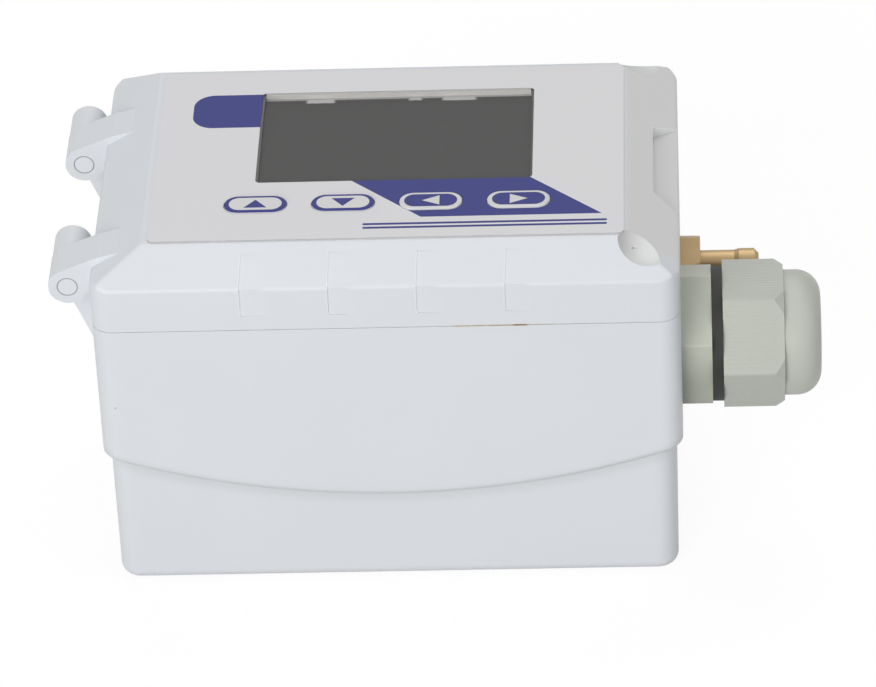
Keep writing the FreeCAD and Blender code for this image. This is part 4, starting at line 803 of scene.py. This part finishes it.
capRibs = {"sides": 6, "flats": 0.022, "turn": 59.5, "startGap": 0.0003, "endGap": 0.0023,
           "pitch": 0.00074, "width": 0.00064, "proud": 0.00003, "count": 15, "steps": 16}


def makeCapRibs():
    bm = bmesh.new()
    under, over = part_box("gland_seal")
    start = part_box("gland_cap")[0].x + capRibs["startGap"]
    end = over.x - capRibs["endGap"]
    axis = (0, (under.y + over.y) / 2, (under.z + over.z) / 2)
    radius = capRibs["width"] / 2
    lift = capRibs["flats"] / 2 + capRibs["proud"] - radius
    for side in range(capRibs["sides"]):
        tilt = Matrix.Rotation(math.radians(capRibs["turn"] + side * 360 / capRibs["sides"]), 3, "X")
        for i in range(capRibs["count"]):
            across = (i - (capRibs["count"] - 1) / 2) * capRibs["pitch"]
            made = bmesh.ops.create_cone(bm, cap_ends=True, segments=capRibs["steps"], radius1=radius,
                                         radius2=radius, depth=end - start,
                                         matrix=Matrix.Rotation(math.pi / 2, 4, "Y"))["verts"]
            bmesh.ops.translate(bm, verts=made, vec=((start + end) / 2, across, lift))
            bmesh.ops.rotate(bm, verts=made, matrix=tilt)
            bmesh.ops.translate(bm, verts=made, vec=axis)
    piece("capRibs", bm, glandGrey, "gland_nut", smoothAngle=50)


makeCapRibs()
print("cap nut ribbed")


ribbon = {
    "start": (-0.0386, 0.0144), "half": 0.005, "thick": 0.0008, "cores": 8, "coreSides": 10,
    "runs": [  # straight, bend radius, bend degrees, steps
        (0.0026, 0, 0, 3), (0, 0.0032, 180, 16), (0.0059024, 0, 0, 4), (0, 0.0030, -90, 9),
        (0.0187278, 0, 0, 6), (0, 0.0030, -52, 8), (0, 0.0160, 16, 48), (0, 0.0020, -54, 8),
        (0.0035377, 0, 0, 3), (0, 0.0030901, 180, 16), (0.0031, 0, 0, 3),
    ],
    # ends of the stretch that bends about the hinge
    "lidFrom": (-0.0406557, 0, 0.0480954), "baseFrom": (-0.0437494, 0, 0.0448918),
}


def makeRibbon():
    bm = bmesh.new()
    wide = ribbon["half"] * 2 / ribbon["cores"]
    x, z = ribbon["start"]
    heading = 0.0
    for i in range(ribbon["cores"]):
        verts = bmesh.ops.create_circle(bm, segments=ribbon["coreSides"], radius=wide / 2,
                                        matrix=Matrix.Rotation(math.pi / 2, 4, "Y"))["verts"]
        bmesh.ops.scale(bm, verts=verts, vec=(1, 1, ribbon["thick"] / wide))
        bmesh.ops.translate(bm, verts=verts, vec=(x, -ribbon["half"] + wide * (i + 0.5), z))
    loop = bm.verts[:] + bm.edges[:]
    for straight, radius, degrees, steps in ribbon["runs"]:
        turn = math.radians(degrees)
        ahead = Vector((math.cos(heading), 0, math.sin(heading)))
        if straight:
            loop = bmesh.ops.spin(bm, geom=loop, cent=(0, 0, 0), axis=(0, 1, 0), angle=0.0, steps=steps,
                                  dvec=ahead * (straight / steps), use_merge=False)["geom_last"]
            x, z = x + ahead.x * straight, z + ahead.z * straight
        else:
            side = math.copysign(radius, turn)
            cx, cz = x - math.sin(heading) * side, z + math.cos(heading) * side
            loop = bmesh.ops.spin(bm, geom=loop, cent=(cx, 0, cz), axis=(0, -1, 0), angle=turn, steps=steps,
                                  use_merge=False)["geom_last"]
            heading += turn
            x, z = cx + math.sin(heading) * side, cz - math.cos(heading) * side
    bmesh.ops.holes_fill(bm, edges=bm.edges, sides=ribbon["coreSides"])
    made = piece("ribbonCores", bm, finishes["ribbon_cable"], None, smoothAngle=60)
    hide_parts("ribbon_cable")
    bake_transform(made)


makeRibbon()
print("ribbon laid")

boardParts = {
    "pitch": (0.0047, 0.0041), "size": (0.0012, 0.0013, 0.0005), "end": 0.0004, "bodyShare": 0.96,
    "margin": 0.0016, "corner": 0.0100, "picks": (7, 5, 4),  # column and row steps, one place in four
    "pinPitch": 0.00254, "pinCount": 16, "pinRow": 0.0222,
    "solderTip": 0.0003, "solderRadius": 0.0008, "solderTall": 0.0007, "solderSteps": 12,
}


def addBlock(bm, middle, size):
    bmesh.ops.create_cube(bm, size=1.0, matrix=Matrix.Translation(middle) @ Matrix.Diagonal((*size, 1.0)))


def isFree(x, y, neighbours):
    room = boardParts["margin"]
    return all(x < low.x - room or x > high.x + room or y < low.y - room or y > high.y + room
               for low, high in neighbours)


def makeBoardParts(boardName, neighbours, body, onTop):
    under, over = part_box(boardName)
    taken = [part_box(name) for name in neighbours]
    long, wide, tall = boardParts["size"]
    end = boardParts["end"]
    z = over.z + tall / 2 if onTop else under.z - tall / 2
    bodies, ends = bmesh.new(), bmesh.new()
    stepX, stepY = boardParts["pitch"]
    stepI, stepJ, share = boardParts["picks"]
    columns, rows = int((over.x - under.x) / stepX), int((over.y - under.y) / stepY)
    for i in range(1, columns):
        for j in range(1, rows):
            x, y = under.x + i * stepX, under.y + j * stepY
            endwise, sidewise = min(x - under.x, over.x - x), min(y - under.y, over.y - y)
            atScrew = max(endwise, sidewise) < boardParts["corner"]
            if (i * stepI + j * stepJ) % share == 0 and not atScrew and isFree(x, y, taken):
                addBlock(bodies, (x, y, z), (long, wide * boardParts["bodyShare"], tall))
                for side in (-1, 1):
                    addBlock(ends, (x + side * (long + end) / 2, y, z), (end, wide, tall))
    piece(boardName + "Chips", bodies, partBlack, body)
    if not onTop:
        count, drop = boardParts["pinCount"], boardParts["solderTall"]
        for i in range(count):
            place = ((i - (count - 1) / 2) * boardParts["pinPitch"], boardParts["pinRow"], under.z - drop / 2)
            bmesh.ops.create_cone(ends, cap_ends=True, segments=boardParts["solderSteps"],
                                  radius1=boardParts["solderTip"], radius2=boardParts["solderRadius"],
                                  depth=drop, matrix=Matrix.Translation(place))
    piece(boardName + "Solder", ends, steel, body, smoothAngle=40)


makeBoardParts("main_board", ["board_header", "controller_chip", "filter_capacitor", "sensor_module",
                              "terminal_block"], "base", True)
makeBoardParts("display_board", ["display_header"], "lid", False)
print("boards filled")
